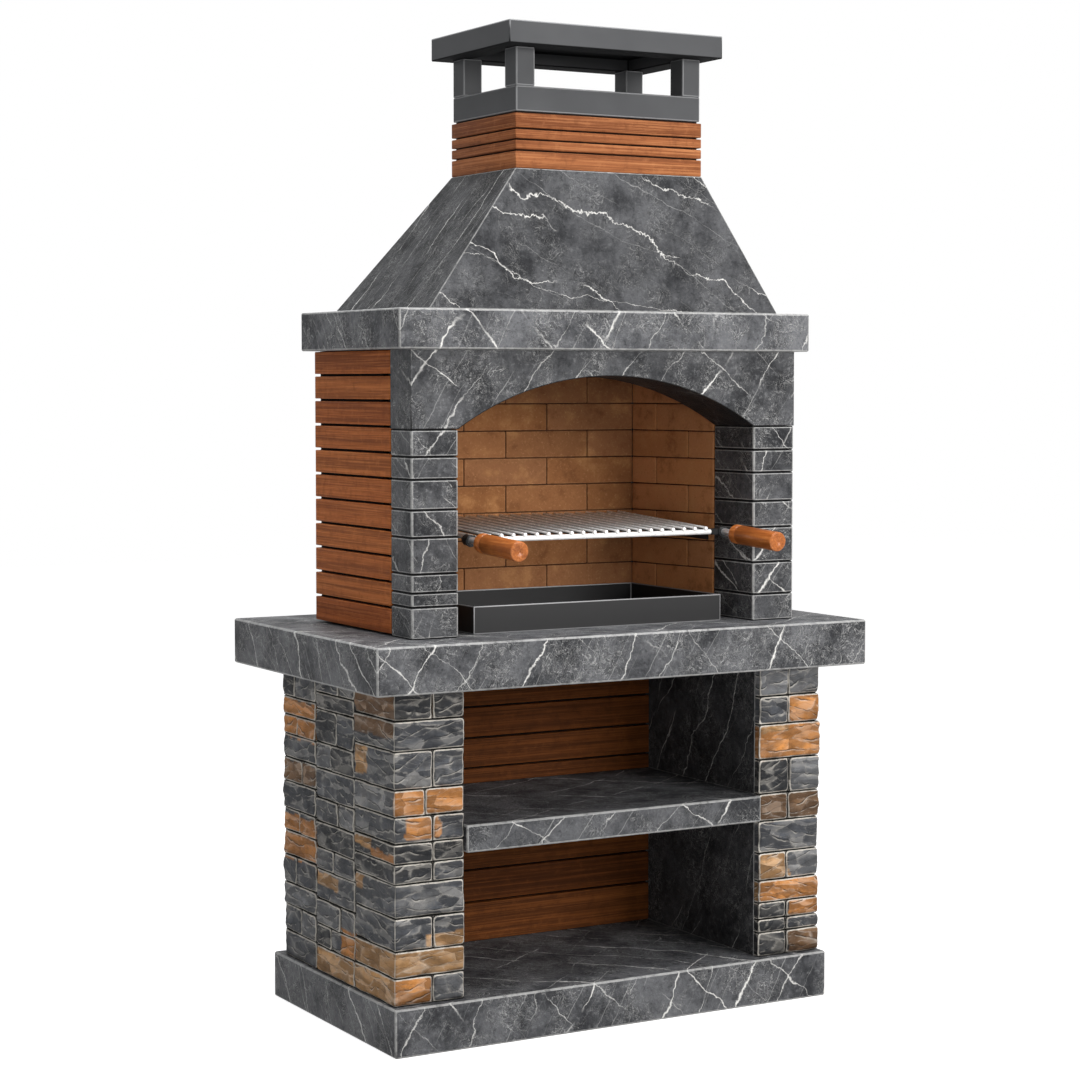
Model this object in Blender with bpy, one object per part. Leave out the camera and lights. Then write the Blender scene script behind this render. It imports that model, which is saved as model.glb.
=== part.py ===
"""A stone garden barbecue, built as its kit of pieces.

From the ground up: a plinth slab, two pillars dressed with ledgestone that hold a shelf between
them, a worktop, a firebox with an arched stone front and timber sides, a mantel slab, a hood of
four mitred slabs and a timber-clad chimney under a flat metal cap. A charcoal tray and a cooking
grate with two wooden handles pull out towards the cook.

Metres. +X is to the cook's right, -Y faces the cook, +Z is up. The origin is the middle of the
plinth's underside.
"""

import math

import bmesh
import bpy
from mathutils import Matrix, Vector

AXIS_X = Vector((1, 0, 0))
AXIS_Y = Vector((0, 1, 0))
AXIS_Z = Vector((0, 0, 1))
LEFT = -1
RIGHT = 1

# Clearances
SEAT = 0.0003
MITRE_GAP = 0.0005
TRAY_BACK_CLEARANCE = 0.012
TRAY_SIDE_CLEARANCE = 0.007
ROD_CLEARANCE = 0.0003

# Plinth and pillars
PLINTH_WIDTH = 1.142
PLINTH_DEPTH = 0.647
PLINTH_HEIGHT = 0.107
PLINTH_LEDGE_SIDE = 0.007
PLINTH_LEDGE_FRONT = 0.018
PILLAR_WIDTH = 0.174
PILLAR_DEPTH = 0.590
PILLAR_HEIGHT = 0.6874
INNER_PANEL_THICKNESS = 0.020
SLAB_EDGE = 0.004
BLOCK_EDGE = 0.003

# Ledgestone: a backing with stones that stand out of it
STONE_BACKING = 0.014
STONE_RELIEF = (0.0080, 0.0060, 0.0075, 0.0065)
STONE_JOINT = 0.005
STONE_BITE = 0.003
STONE_END = 0.001
SIDE_COLUMNS = (0.198, 0.208, 0.184)

# Courses of stones, from the bottom up: a height share, then the width shares of its stones
LEFT_FRONT_COURSES = (
    (62, (52, 48)),
    (58, (100,)),
    (72, (53, 47)),
    (74, (100,)),
    (44, (53, 47)),
    (44, (53, 47)),
    (58, (53, 47)),
    (59, (42, 58)),
    (83, (53, 47)),
    (66, (100,)),
    (65, (53, 47)),
)
RIGHT_FRONT_COURSES = (
    (57, (52, 48)),
    (31, (52, 48)),
    (40, (52, 48)),
    (52, (100,)),
    (65, (52, 48)),
    (75, (100,)),
    (64, (50, 50)),
    (81, (48, 52)),
    (82, (100,)),
    (66, (50, 50)),
    (71, (50, 50)),
)
MIDDLE_COURSES = (
    (60, (100,)),
    (50, (60, 40)),
    (58, (35, 65)),
    (69, (100,)),
    (50, (55, 45)),
    (60, (100,)),
    (54, (42, 58)),
    (68, (100,)),
    (60, (60, 40)),
    (76, (45, 55)),
    (38, (100,)),
    (42, (38, 62)),
)
REAR_COURSES = (
    (62, (100,)),
    (62, (45, 55)),
    (53, (100,)),
    (65, (60, 40)),
    (58, (100,)),
    (53, (50, 50)),
    (64, (100,)),
    (56, (40, 60)),
    (55, (100,)),
    (46, (55, 45)),
    (43, (100,)),
    (70, (62, 38)),
)

# Shelf and the boards that close the back of the two compartments
SHELF_TOP = 0.492
SHELF_THICKNESS = 0.061
SHELF_PROUD = 0.008
SHELF_HOUSING = 0.006
BACK_BOARD_INSET = 0.108
BOARD_THICKNESS = 0.018
BOARD_GAP = 0.003
BOARD_EDGE = 0.0015
BOARD_BACKING = 0.020
BACKING_END = 0.001
BACKING_BITE = 0.002
UPPER_BOARDS = (36, 73, 75, 75, 43)
LOWER_BOARDS = (95, 79, 79, 71)

# Worktop
WORKTOP_WIDTH = 1.279
WORKTOP_DEPTH = 0.771
WORKTOP_THICKNESS = 0.105
WORKTOP_OVERHANG_FRONT = 0.076

# Firebox body: stone piers and arch in front, slats on the sides
BODY_WIDTH = 1.007
BODY_DEPTH = 0.4965
BODY_SETBACK = 0.107
PIER_WIDTH = 0.1145
PIER_DEPTH = 0.164
PIER_SIDE = 0.100
PIER_HEIGHT = 0.455
LEFT_PIER_BLOCKS = (70, 31, 41, 79, 60, 66, 49, 59)
RIGHT_PIER_BLOCKS = (62, 75, 82, 61, 67, 53, 55)
LINTEL_HEIGHT = 0.173
ARCH_RISE = 0.1157
ARCH_CIRCLE_STEPS = 160
SLAT_THICKNESS = 0.016
SLAT_GAP = 0.0035
SLAT_COUNT = 11
SLAT_FOOT_GAP = 0.004
SLAT_BACKING = 0.012

# Firebox lining: brick slips on a cast core whose side walls close in towards the back
CORE_BACK_WALL = 0.020
BRICK_THICKNESS = 0.025
BRICK_RELIEF = 0.003
BRICK_JOINT = 0.005
BRICK_LENGTH = 0.228
BRICK_COURSE = 0.0655
BRICK_FIRST_COURSE = 0.047
BRICK_SHORTEST = 0.030
BACK_BOND_START = -0.021
SIDE_BOND_START = 0.200
LINING_LIP = 0.005
LINING_SPLAY = 0.049

# Mantel, hood and chimney
MANTEL_WIDTH = 1.075
MANTEL_OVERHANG_FRONT = 0.013
MANTEL_THICKNESS = 0.088
THROAT_WIDTH = 0.640
THROAT_DEPTH = 0.240
THROAT_BEHIND_LINTEL = 0.012
HOOD_WIDTH = 0.913
HOOD_DEPTH = 0.482
HOOD_SETBACK = 0.0175
HOOD_HEIGHT = 0.309
HOOD_WALL = 0.045
CHIMNEY_WIDTH = 0.486
CHIMNEY_DEPTH = 0.302
CHIMNEY_HEIGHT = 0.124
BAND_THICKNESS = 0.016
BAND_REVEAL = 0.0035
BAND_LIP = 0.006
BAND_LIP_INSET = 0.008
BAND_LIP_BITE = 0.004
CHIMNEY_BANDS = (385, 225, 225, 340)
COLLAR_SETBACK = 0.003
COLLAR_HEIGHT = 0.0555
POST_WIDTH = 0.047
POST_DEPTH = 0.052
POST_HEIGHT = 0.0845
CAP_OVERHANG = 0.037
CAP_THICKNESS = 0.051
CAP_SOFFIT = 0.085
CAP_RECESS = 0.030
METAL_EDGE = 0.0015

# Charcoal tray
TRAY_HEIGHT = 0.062
TRAY_WALL = 0.003
TRAY_SETBACK = 0.044

# Cooking grate, which leans towards the cook in one plane with its handles
GRATE_TILT = math.radians(3.0)
GRATE_WIDTH = 0.606
GRATE_DEPTH = 0.3785
GRATE_HEIGHT = 0.209
GRATE_SETBACK = 0.051
RAIL_RADIUS = 0.006
SIDE_RAIL_RADIUS = 0.0055
SIDE_RAIL_DROP = 0.0004
BAR_INSET = 0.010
BAR_RADIUS = 0.004
BAR_COUNT = 20
BAR_WELD = 0.0012
BAR_OVERRUN = 0.0075
RAIL_STEPS = 12
BAR_STEPS = 8
RUNNER_PLATE = 0.004
RUNNER_REACH = 0.024
RUNNER_FLANGE = 0.024
RUNNER_END_GAP = 0.012

# Handles of the grate
HANDLE_REACH = 0.032
SOCKET_RADIUS = 0.0125
SOCKET_LENGTH = 0.024
SOCKET_BEHIND_RAIL = 0.014
LUG_HEIGHT = 0.014
CLIP_WIRE = 0.002
CLIP_ARC = math.radians(235)
CLIP_STEPS = 12
WIRE_STEPS = 6
ROD_RADIUS = 0.0085
ROD_SHOWN = 0.048
ROD_IN_SOCKET = 0.018
ROD_IN_GRIP = 0.060
GRIP_RADIUS = 0.0222
GRIP_LENGTH = 0.170
GRIP_COLLAR = 0.022
GRIP_GROOVE = 0.0016
GRIP_GROOVE_WIDTH = 0.004
GRIP_NOSE = 0.003
ROUND_STEPS = 20

# Levels and planes that follow from the sizes above
plinth_front = -PLINTH_DEPTH / 2
pillar_outer = PLINTH_WIDTH / 2 - PLINTH_LEDGE_SIDE
pillar_inner = pillar_outer - PILLAR_WIDTH
pillar_front = plinth_front + PLINTH_LEDGE_FRONT
pillar_back = pillar_front + PILLAR_DEPTH
pillar_foot = PLINTH_HEIGHT + SEAT
pillar_top = pillar_foot + PILLAR_HEIGHT
stone_thickness = STONE_BACKING + max(STONE_RELIEF)
core_front = pillar_front + stone_thickness + SEAT
worktop_foot = pillar_top + SEAT
worktop_top = worktop_foot + WORKTOP_THICKNESS
worktop_front = pillar_front - WORKTOP_OVERHANG_FRONT
body_front = worktop_front + BODY_SETBACK
body_back = body_front + BODY_DEPTH
body_side = BODY_WIDTH / 2
body_foot = worktop_top + SEAT
pier_inner = body_side - PIER_WIDTH
pier_back = body_front + PIER_DEPTH
core_side = body_side - SLAT_THICKNESS - SLAT_BACKING - SEAT
lintel_foot = body_foot + PIER_HEIGHT + SEAT
body_top = lintel_foot + LINTEL_HEIGHT
lining_front = pier_back + SEAT
lining_back = body_back - CORE_BACK_WALL - BRICK_THICKNESS - SEAT
lining_front_side = pier_inner - LINING_LIP
lining_back_side = lining_front_side - LINING_SPLAY
splay_angle = math.atan2(LINING_SPLAY, lining_back - lining_front)
mantel_foot = body_top + SEAT
mantel_top = mantel_foot + MANTEL_THICKNESS
hood_foot = mantel_top + SEAT
hood_top = hood_foot + HOOD_HEIGHT
hood_front = body_front - MANTEL_OVERHANG_FRONT + HOOD_SETBACK
chimney_foot = hood_top + SEAT
chimney_top = chimney_foot + CHIMNEY_HEIGHT
collar_foot = chimney_top + SEAT
collar_top = collar_foot + COLLAR_HEIGHT
cap_foot = collar_top + SEAT + POST_HEIGHT + SEAT
rail_height = worktop_top + GRATE_HEIGHT
grate_front = body_front + GRATE_SETBACK


def clear_scene():
    for piece in list(bpy.data.objects):
        bpy.data.objects.remove(piece, do_unlink=True)


def finish(name, colour, roughness, metallic=0.0):
    """A plain material of one colour; colour is in linear light."""
    material = bpy.data.materials.new(name)
    material.use_nodes = True
    shader = material.node_tree.nodes["Principled BSDF"]
    shader.inputs["Base Color"].default_value = (*colour, 1.0)
    shader.inputs["Roughness"].default_value = roughness
    shader.inputs["Metallic"].default_value = metallic
    material.diffuse_color = (*colour, 1.0)
    return material


def piece_from(bm, name, material, place=(0, 0, 0), turn=0.0, parent=None):
    """Turns a bmesh into an object, with its faces pointing out."""
    bmesh.ops.recalc_face_normals(bm, faces=bm.faces)
    mesh = bpy.data.meshes.new(name)
    bm.to_mesh(mesh)
    bm.free()
    mesh.materials.append(material)
    piece = bpy.data.objects.new(name, mesh)
    bpy.context.collection.objects.link(piece)
    piece.location = place
    piece.rotation_euler = (0, 0, turn)
    piece.parent = parent
    return piece


def round_edges(piece, width, segments=1):
    """Rounds the sharp edges of a piece."""
    bevel = piece.modifiers.new("rounded edges", "BEVEL")
    bevel.width = width
    bevel.segments = segments
    bevel.limit_method = "ANGLE"
    bevel.angle_limit = math.radians(40)
    return piece


def shade_round(piece, angle=math.radians(35)):
    piece.data.shade_smooth()
    piece.data.set_sharp_from_angle(angle=angle)
    return piece


def add_box(bm, one, other):
    """Adds a box between two opposite corners to a bmesh."""
    middle = (Vector(one) + Vector(other)) / 2
    size = [abs(end - start) for start, end in zip(one, other)]
    place = Matrix.Translation(middle) @ Matrix.Diagonal((*size, 1.0))
    return bmesh.ops.create_cube(bm, size=1.0, matrix=place)


def box(name, low, high, material, edge=0.0, segments=1, parent=None):
    """A box whose object stands at the middle of its own foot."""
    low = Vector(low)
    high = Vector(high)
    foot = Vector(((low.x + high.x) / 2, (low.y + high.y) / 2, low.z))
    bm = bmesh.new()
    add_box(bm, low - foot, high - foot)
    piece = piece_from(bm, name, material, foot, parent=parent)
    if edge:
        round_edges(piece, edge, segments)
    return piece


def lift(bm, faces, rise):
    """Extrudes flat faces into a solid."""
    grown = bmesh.ops.extrude_face_region(bm, geom=faces)
    top = [part for part in grown["geom"] if isinstance(part, bmesh.types.BMVert)]
    bmesh.ops.translate(bm, verts=top, vec=rise)


def facing(bm, way):
    """The face of a solid that looks most nearly one way."""
    bmesh.ops.recalc_face_normals(bm, faces=bm.faces)
    return max(bm.faces, key=lambda face: face.normal.dot(way))


def push(bm, face, move):
    """Draws one face of a solid out, or sinks it in."""
    grown = bmesh.ops.extrude_discrete_faces(bm, faces=[face])
    bmesh.ops.translate(bm, verts=grown["faces"][0].verts, vec=move)


def prism(name, outline, foot, height, material, edge=0.0, segments=1, parent=None):
    """An outline in plan, raised straight up from its foot."""
    bm = bmesh.new()
    face = bm.faces.new([bm.verts.new((x, y, 0)) for x, y in outline])
    lift(bm, [face], AXIS_Z * height)
    piece = piece_from(bm, name, material, (0, 0, foot), parent=parent)
    if edge:
        round_edges(piece, edge, segments)
    return piece


def ring_mesh(half_x, half_y, wall, foot, top):
    """A rectangular tube about the origin, with the same wall on all four sides."""
    bm = bmesh.new()
    corners = ((-half_x, -half_y), (half_x, -half_y), (half_x, half_y), (-half_x, half_y))
    face = bm.faces.new([bm.verts.new((x, y, foot)) for x, y in corners])
    face.normal_update()
    bmesh.ops.inset_region(bm, faces=[face], thickness=wall, use_boundary=True)
    bmesh.ops.delete(bm, geom=[face], context="FACES_ONLY")
    lift(bm, bm.faces[:], AXIS_Z * (top - foot))
    return bm


def ring(name, low, high, wall, material, edge=0.0):
    """A rectangular tube between two corners."""
    low = Vector(low)
    high = Vector(high)
    middle = Vector(((low.x + high.x) / 2, (low.y + high.y) / 2, low.z))
    half = (high - low) / 2
    bm = ring_mesh(half.x, half.y, wall, 0, high.z - low.z)
    piece = piece_from(bm, name, material, middle)
    if edge:
        round_edges(piece, edge)
    return piece


def shares(length, parts):
    """Splits a length by shares and gives every boundary, both ends included."""
    places = [0.0]
    for part in parts:
        places.append(places[-1] + length * part / sum(parts))
    return places


def helper(bm, name):
    """A solid that only shapes another one."""
    mesh = bpy.data.meshes.new(name)
    bmesh.ops.recalc_face_normals(bm, faces=bm.faces)
    bm.to_mesh(mesh)
    bm.free()
    guide = bpy.data.objects.new(name, mesh)
    guide.hide_render = True
    guide.display_type = "WIRE"
    return guide


def combine(piece, guides, operation):
    """Adds a Boolean with one or more helper solids."""
    kit = bpy.data.collections.new(piece.name + " helpers")
    bpy.context.scene.collection.children.link(kit)
    for guide in guides:
        kit.objects.link(guide)
        guide.parent = piece
    boolean = piece.modifiers.new(operation.lower(), "BOOLEAN")
    boolean.operation = operation
    boolean.operand_type = "COLLECTION"
    boolean.collection = kit
    return piece


# Stones and bricks in relief
def spans(places, joint):
    """Spans between boundaries, drawn in by half a joint where two meet and a little at the ends."""
    last = len(places) - 2
    found = []
    for number, (start, end) in enumerate(zip(places, places[1:])):
        start += joint / 2 if number > 0 else STONE_END
        end -= joint / 2 if number < last else STONE_END
        found.append((start, end))
    return found


def course_spans(length, height, courses, joint):
    """For each course from the bottom up, its level span and the spans of its stones."""
    levels = spans(shares(height, [share for share, stones in courses]), joint)
    rows = [spans(shares(length, stones), joint) for share, stones in courses]
    return list(zip(levels, rows))


def ledgestone(name, side, front_courses, material):
    """Stones round the front and the outer side of a pillar; corner stones cover both."""
    relief = max(STONE_RELIEF)
    outer = side * (pillar_outer - relief)
    inner = side * pillar_inner
    hidden = outer - side * STONE_BACKING
    front = pillar_front + relief
    behind = front + STONE_BACKING
    plan = (
        (inner, front),
        (outer, front),
        (outer, pillar_back),
        (hidden, pillar_back),
        (hidden, behind),
        (inner, behind),
    )
    backing = prism(name, plan, pillar_foot, PILLAR_HEIGHT, material)
    bite_x = outer - side * STONE_BITE
    bite_y = front + STONE_BITE
    stones = bmesh.new()
    columns = [front + end for end in shares(pillar_back - front, SIDE_COLUMNS)]
    corner, middle, rear = spans(columns, STONE_JOINT)
    rows = course_spans(PILLAR_WIDTH - relief, PILLAR_HEIGHT, front_courses, STONE_JOINT)
    count = 0
    for (low, high), row in rows:
        out = STONE_RELIEF[count % len(STONE_RELIEF)]
        shown_x = outer + side * out
        shown_y = front - out
        end_x = outer - side * row[0][1]
        around = (
            (shown_x, shown_y),
            (end_x, shown_y),
            (end_x, bite_y),
            (bite_x, bite_y),
            (bite_x, corner[1]),
            (shown_x, corner[1]),
        )
        face = stones.faces.new([stones.verts.new((x, y, low)) for x, y in around])
        lift(stones, [face], AXIS_Z * (high - low))
        for start, end in row[1:]:
            count += 1
            out = STONE_RELIEF[count % len(STONE_RELIEF)]
            near = outer - side * start
            add_box(stones, (near, front - out, low), (outer - side * end, bite_y, high))
        count += 1
    for column, courses in ((middle, MIDDLE_COURSES), (rear, REAR_COURSES)):
        length = column[1] - column[0]
        for (low, high), row in course_spans(length, PILLAR_HEIGHT, courses, STONE_JOINT):
            for start, end in row:
                count += 1
                out = STONE_RELIEF[count % len(STONE_RELIEF)]
                near = (bite_x, column[0] + start, low)
                add_box(stones, near, (outer + side * out, column[0] + end, high))
    return combine(backing, [helper(stones, name + " stones")], "UNION")


def brick_courses(length, height, bond_start):
    """Courses of a brick wall: every second course starts half a brick further on."""
    courses = []
    foot = 0.0
    top = BRICK_FIRST_COURSE
    while foot < height:
        if height - top < BRICK_SHORTEST:
            top = height
        joint = (bond_start + BRICK_LENGTH / 2 * (len(courses) % 2)) % BRICK_LENGTH
        ends = [0.0]
        while joint < length - BRICK_SHORTEST:
            if joint > BRICK_SHORTEST:
                ends.append(joint)
            joint += BRICK_LENGTH
        ends.append(length)
        bricks = [after - before for before, after in zip(ends, ends[1:])]
        courses.append((top - foot, bricks))
        foot = top
        top += BRICK_COURSE
    return courses


def brick_wall(name, length, bond_start, material, place, turn):
    """A wall of brick slips: seen face towards its own -Y, its front left foot at the object."""
    height = body_top - body_foot
    bm = bmesh.new()
    add_box(bm, (0, BRICK_RELIEF, 0), (length, BRICK_THICKNESS, height))
    wall = piece_from(bm, name, material, place, turn)
    bricks = bmesh.new()
    courses = brick_courses(length, height, bond_start)
    for (low, high), row in course_spans(length, height, courses, BRICK_JOINT):
        for start, end in row:
            add_box(bricks, (start, 0, low), (end, BRICK_RELIEF + STONE_BITE, high))
    return combine(wall, [helper(bricks, name + " slips")], "UNION")


# Boards on a backing
def boarding(name, length, boards, gap, thickness, backing, span, material, place, turn):
    """Level boards on a flat backing that closes their gaps: seen face towards its own -Y."""
    height = sum(boards)
    bm = bmesh.new()
    front = (span[0] + BACKING_END, thickness - BACKING_BITE, 0)
    rear = (span[1] - BACKING_END, thickness + backing, height)
    add_box(bm, front, rear)
    piece = piece_from(bm, name, material, place, turn)
    guides = []
    foot = 0.0
    for number, board in enumerate(boards):
        low = foot + (gap if number else 0.0)
        foot += board
        bm = bmesh.new()
        add_box(bm, (0, 0, low), (length, thickness, foot))
        bmesh.ops.bevel(
            bm,
            geom=[edge for edge in bm.edges if edge.calc_length() > thickness * 1.5],
            offset=BOARD_EDGE,
            segments=1,
            profile=0.5,
            affect="EDGES",
            material=-1,
        )
        guides.append(helper(bm, f"{name} board {number + 1}"))
    return combine(piece, guides, "UNION")


def to_sizes(height, parts):
    """Shares of a height as sizes."""
    return [height * part / sum(parts) for part in parts]


# Base
def build_base(stone, concrete, ledge, wood):
    half_depth = PLINTH_DEPTH / 2
    box(
        "base_plinth",
        (-PLINTH_WIDTH / 2, -half_depth, 0),
        (PLINTH_WIDTH / 2, half_depth, PLINTH_HEIGHT),
        stone,
        SLAB_EDGE,
        2,
    )
    core_inner = pillar_inner + INNER_PANEL_THICKNESS + SEAT
    core_outer = pillar_outer - stone_thickness - SEAT
    for side, word in ((LEFT, "left"), (RIGHT, "right")):
        ends = sorted((side * core_inner, side * core_outer))
        box(
            f"{word}_pillar_core",
            (ends[0], core_front, pillar_foot),
            (ends[1], pillar_back, pillar_top),
            concrete,
        )
        inner_panel(f"{word}_inner_panel", side, stone)
    ledgestone("left_ledgestone", LEFT, LEFT_FRONT_COURSES, ledge)
    ledgestone("right_ledgestone", RIGHT, RIGHT_FRONT_COURSES, ledge)
    mid_shelf(stone)
    back_boards("lower_back_boards", pillar_foot, SHELF_TOP - SHELF_THICKNESS - SEAT, LOWER_BOARDS, wood)
    back_boards("upper_back_boards", SHELF_TOP + SEAT, pillar_top, UPPER_BOARDS, wood)


def inner_panel(name, side, stone):
    """The smooth slab inside a pillar, grooved to hold one end of the shelf."""
    seen = side * pillar_inner
    hidden = side * (pillar_inner + INNER_PANEL_THICKNESS)
    groove = side * (pillar_inner + SHELF_HOUSING)
    low = SHELF_TOP - SHELF_THICKNESS - SEAT - pillar_foot
    high = SHELF_TOP + SEAT - pillar_foot
    profile = (
        (hidden, 0),
        (seen, 0),
        (seen, low),
        (groove, low),
        (groove, high),
        (seen, high),
        (seen, PILLAR_HEIGHT),
        (hidden, PILLAR_HEIGHT),
    )
    bm = bmesh.new()
    face = bm.faces.new([bm.verts.new((x, core_front, z)) for x, z in profile])
    lift(bm, [face], AXIS_Y * (pillar_back - core_front))
    return piece_from(bm, name, stone, (0, 0, pillar_foot))


def mid_shelf(stone):
    """The shelf shows between the pillars and is housed in both inner panels."""
    front = pillar_front - SHELF_PROUD
    shoulder = core_front + SEAT + BLOCK_EDGE
    back = pillar_back - BACK_BOARD_INSET + BOARD_THICKNESS + BOARD_BACKING
    shown = pillar_inner - SEAT
    housed = pillar_inner + SHELF_HOUSING - SEAT
    outline = (
        (-shown, front),
        (shown, front),
        (shown, shoulder),
        (housed, shoulder),
        (housed, back),
        (-housed, back),
        (-housed, shoulder),
        (-shown, shoulder),
    )
    prism(
        "mid_shelf",
        outline,
        SHELF_TOP - SHELF_THICKNESS,
        SHELF_THICKNESS,
        stone,
        BLOCK_EDGE,
    )


def back_boards(name, foot, top, heights, wood):
    length = 2 * (pillar_inner - SEAT)
    boarding(
        name,
        length,
        to_sizes(top - foot, heights),
        BOARD_GAP,
        BOARD_THICKNESS,
        BOARD_BACKING,
        (0, length),
        wood,
        (-(pillar_inner - SEAT), pillar_back - BACK_BOARD_INSET, foot),
        0.0,
    )


def build_worktop(stone):
    box(
        "worktop",
        (-WORKTOP_WIDTH / 2, worktop_front, worktop_foot),
        (WORKTOP_WIDTH / 2, worktop_front + WORKTOP_DEPTH, worktop_top),
        stone,
        SLAB_EDGE,
        2,
    )


# Firebox
def pier_plan(side):
    """The plan of a pier block: an L that leaves room behind for the side cladding."""
    outer = side * body_side
    inner = side * pier_inner
    behind = side * core_side
    step = body_front + PIER_SIDE
    return (
        (inner, body_front),
        (outer, body_front),
        (outer, step),
        (behind, step),
        (behind, pier_back),
        (inner, pier_back),
    )


def build_piers(stone):
    stacks = ((LEFT, "left", LEFT_PIER_BLOCKS), (RIGHT, "right", RIGHT_PIER_BLOCKS))
    for side, word, blocks in stacks:
        levels = shares(PIER_HEIGHT, blocks)
        for number, (low, high) in enumerate(zip(levels, levels[1:])):
            prism(
                f"{word}_pier_block_{number + 1}",
                pier_plan(side),
                body_foot + low,
                high - low - SEAT,
                stone,
                BLOCK_EDGE,
            )


def arch_lintel(stone):
    """One slab over the opening, its underside cut to an arc from pier to pier."""
    half_span = pier_inner
    radius = (half_span**2 + ARCH_RISE**2) / (2 * ARCH_RISE)
    bm = bmesh.new()
    plan = [*pier_plan(LEFT)[:0:-1], *pier_plan(RIGHT)[1:]]
    face = bm.faces.new([bm.verts.new((x, y, 0)) for x, y in plan])
    lift(bm, [face], AXIS_Z * LINTEL_HEIGHT)
    lintel = piece_from(bm, "arch_lintel", stone, (0, 0, lintel_foot))
    bm = bmesh.new()
    bmesh.ops.create_cone(
        bm,
        cap_ends=True,
        segments=ARCH_CIRCLE_STEPS,
        radius1=radius,
        radius2=radius,
        depth=PIER_DEPTH * 2,
        matrix=Matrix.Translation((0, body_front + PIER_DEPTH / 2, ARCH_RISE - radius))
        @ Matrix.Rotation(math.pi / 2, 4, "X"),
    )
    combine(lintel, [helper(bm, "arch cutter")], "DIFFERENCE")
    round_edges(lintel, BLOCK_EDGE)


def firebox_core(concrete):
    """A cast wall round the sides and back of the fire, open in front."""
    slip = BRICK_THICKNESS / math.cos(splay_angle) + SEAT
    slope = math.tan(splay_angle)
    pocket = body_back - CORE_BACK_WALL
    front_x = lining_front_side + slip
    back_x = front_x - slope * (pocket - lining_front)
    outline = (
        (front_x, lining_front),
        (core_side, lining_front),
        (core_side, body_back),
        (-core_side, body_back),
        (-core_side, lining_front),
        (-front_x, lining_front),
        (-back_x, pocket),
        (back_x, pocket),
    )
    prism("firebox_core", outline, body_foot, body_top - body_foot, concrete)


def firebrick_lining(brick):
    """Back wall between the splayed side walls, which run from the piers to its face."""
    wall = (lining_back - lining_front) / math.cos(splay_angle)
    side_length = wall - BRICK_THICKNESS * math.tan(splay_angle) - SEAT
    seen = lining_back_side
    brick_wall(
        "firebrick_back",
        2 * seen,
        seen + BACK_BOND_START,
        brick,
        (-seen, lining_back, body_foot),
        0.0,
    )
    quarter = math.pi / 2
    back_x = lining_front_side - side_length * math.sin(splay_angle)
    back_y = lining_front + side_length * math.cos(splay_angle)
    brick_wall(
        "firebrick_right",
        side_length,
        SIDE_BOND_START,
        brick,
        (back_x, back_y, body_foot),
        splay_angle - quarter,
    )
    brick_wall(
        "firebrick_left",
        side_length,
        side_length - SIDE_BOND_START,
        brick,
        (-lining_front_side, lining_front, body_foot),
        quarter - splay_angle,
    )


def side_cladding(wood):
    """Level slats from the stone corner to the back edge, on both flanks."""
    front = body_front + PIER_SIDE + SEAT
    length = body_back - front
    foot = body_foot + SLAT_FOOT_GAP
    heights = to_sizes(body_top - foot, [1] * SLAT_COUNT)
    quarter = math.pi / 2
    behind_pier = PIER_DEPTH - PIER_SIDE
    for word, place, turn, span in (
        ("left", (-body_side, body_back, foot), -quarter, (0, length - behind_pier)),
        ("right", (body_side, front, foot), quarter, (behind_pier, length)),
    ):
        boarding(
            f"{word}_slat_cladding",
            length,
            heights,
            SLAT_GAP,
            SLAT_THICKNESS,
            SLAT_BACKING,
            span,
            wood,
            place,
            turn,
        )


# Mantel, hood and chimney
def mantel_slab(stone):
    front = body_front - MANTEL_OVERHANG_FRONT
    mantel = box(
        "mantel_slab",
        (-MANTEL_WIDTH / 2, front, mantel_foot),
        (MANTEL_WIDTH / 2, body_back, mantel_top),
        stone,
    )
    throat = pier_back + THROAT_BEHIND_LINTEL
    bm = bmesh.new()
    middle = mantel.location
    add_box(
        bm,
        Vector((-THROAT_WIDTH / 2, throat, mantel_foot - MANTEL_THICKNESS)) - middle,
        Vector((THROAT_WIDTH / 2, throat + THROAT_DEPTH, mantel_top + MANTEL_THICKNESS)) - middle,
    )
    combine(mantel, [helper(bm, "throat cutter")], "DIFFERENCE")
    round_edges(mantel, SLAB_EDGE, 2)


def hood_corners(inset):
    """The four foot corners and the four top corners of the hood, drawn in by an inset."""
    foot_x = HOOD_WIDTH / 2 - inset
    top_x = CHIMNEY_WIDTH / 2 - inset
    front = hood_front + inset
    foot_back = hood_front + HOOD_DEPTH - inset
    top_back = hood_front + CHIMNEY_DEPTH - inset
    foot = ((-foot_x, front), (foot_x, front), (foot_x, foot_back), (-foot_x, foot_back))
    top = ((-top_x, front), (top_x, front), (top_x, top_back), (-top_x, top_back))
    return foot, top


def build_hood(stone):
    """Four slabs, mitred where they meet at the hips."""
    outer_foot, outer_top = hood_corners(0.0)
    inner_foot, inner_top = hood_corners(HOOD_WALL)
    for number, word in enumerate(("front", "right", "back", "left")):
        draw_in = MITRE_GAP if word in ("front", "back") else 0.0
        bm = bmesh.new()
        for corner in (number, (number + 1) % 4):
            for plan, level in (
                (outer_foot, 0.0),
                (inner_foot, 0.0),
                (outer_top, HOOD_HEIGHT),
                (inner_top, HOOD_HEIGHT),
            ):
                x, y = plan[corner]
                bm.verts.new((x - math.copysign(draw_in, x), y, level))
        bmesh.ops.convex_hull(bm, input=bm.verts)
        bmesh.ops.dissolve_limit(bm, angle_limit=0.001, verts=bm.verts, edges=bm.edges)
        piece_from(bm, f"hood_{word}", stone, (0, 0, hood_foot))


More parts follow.
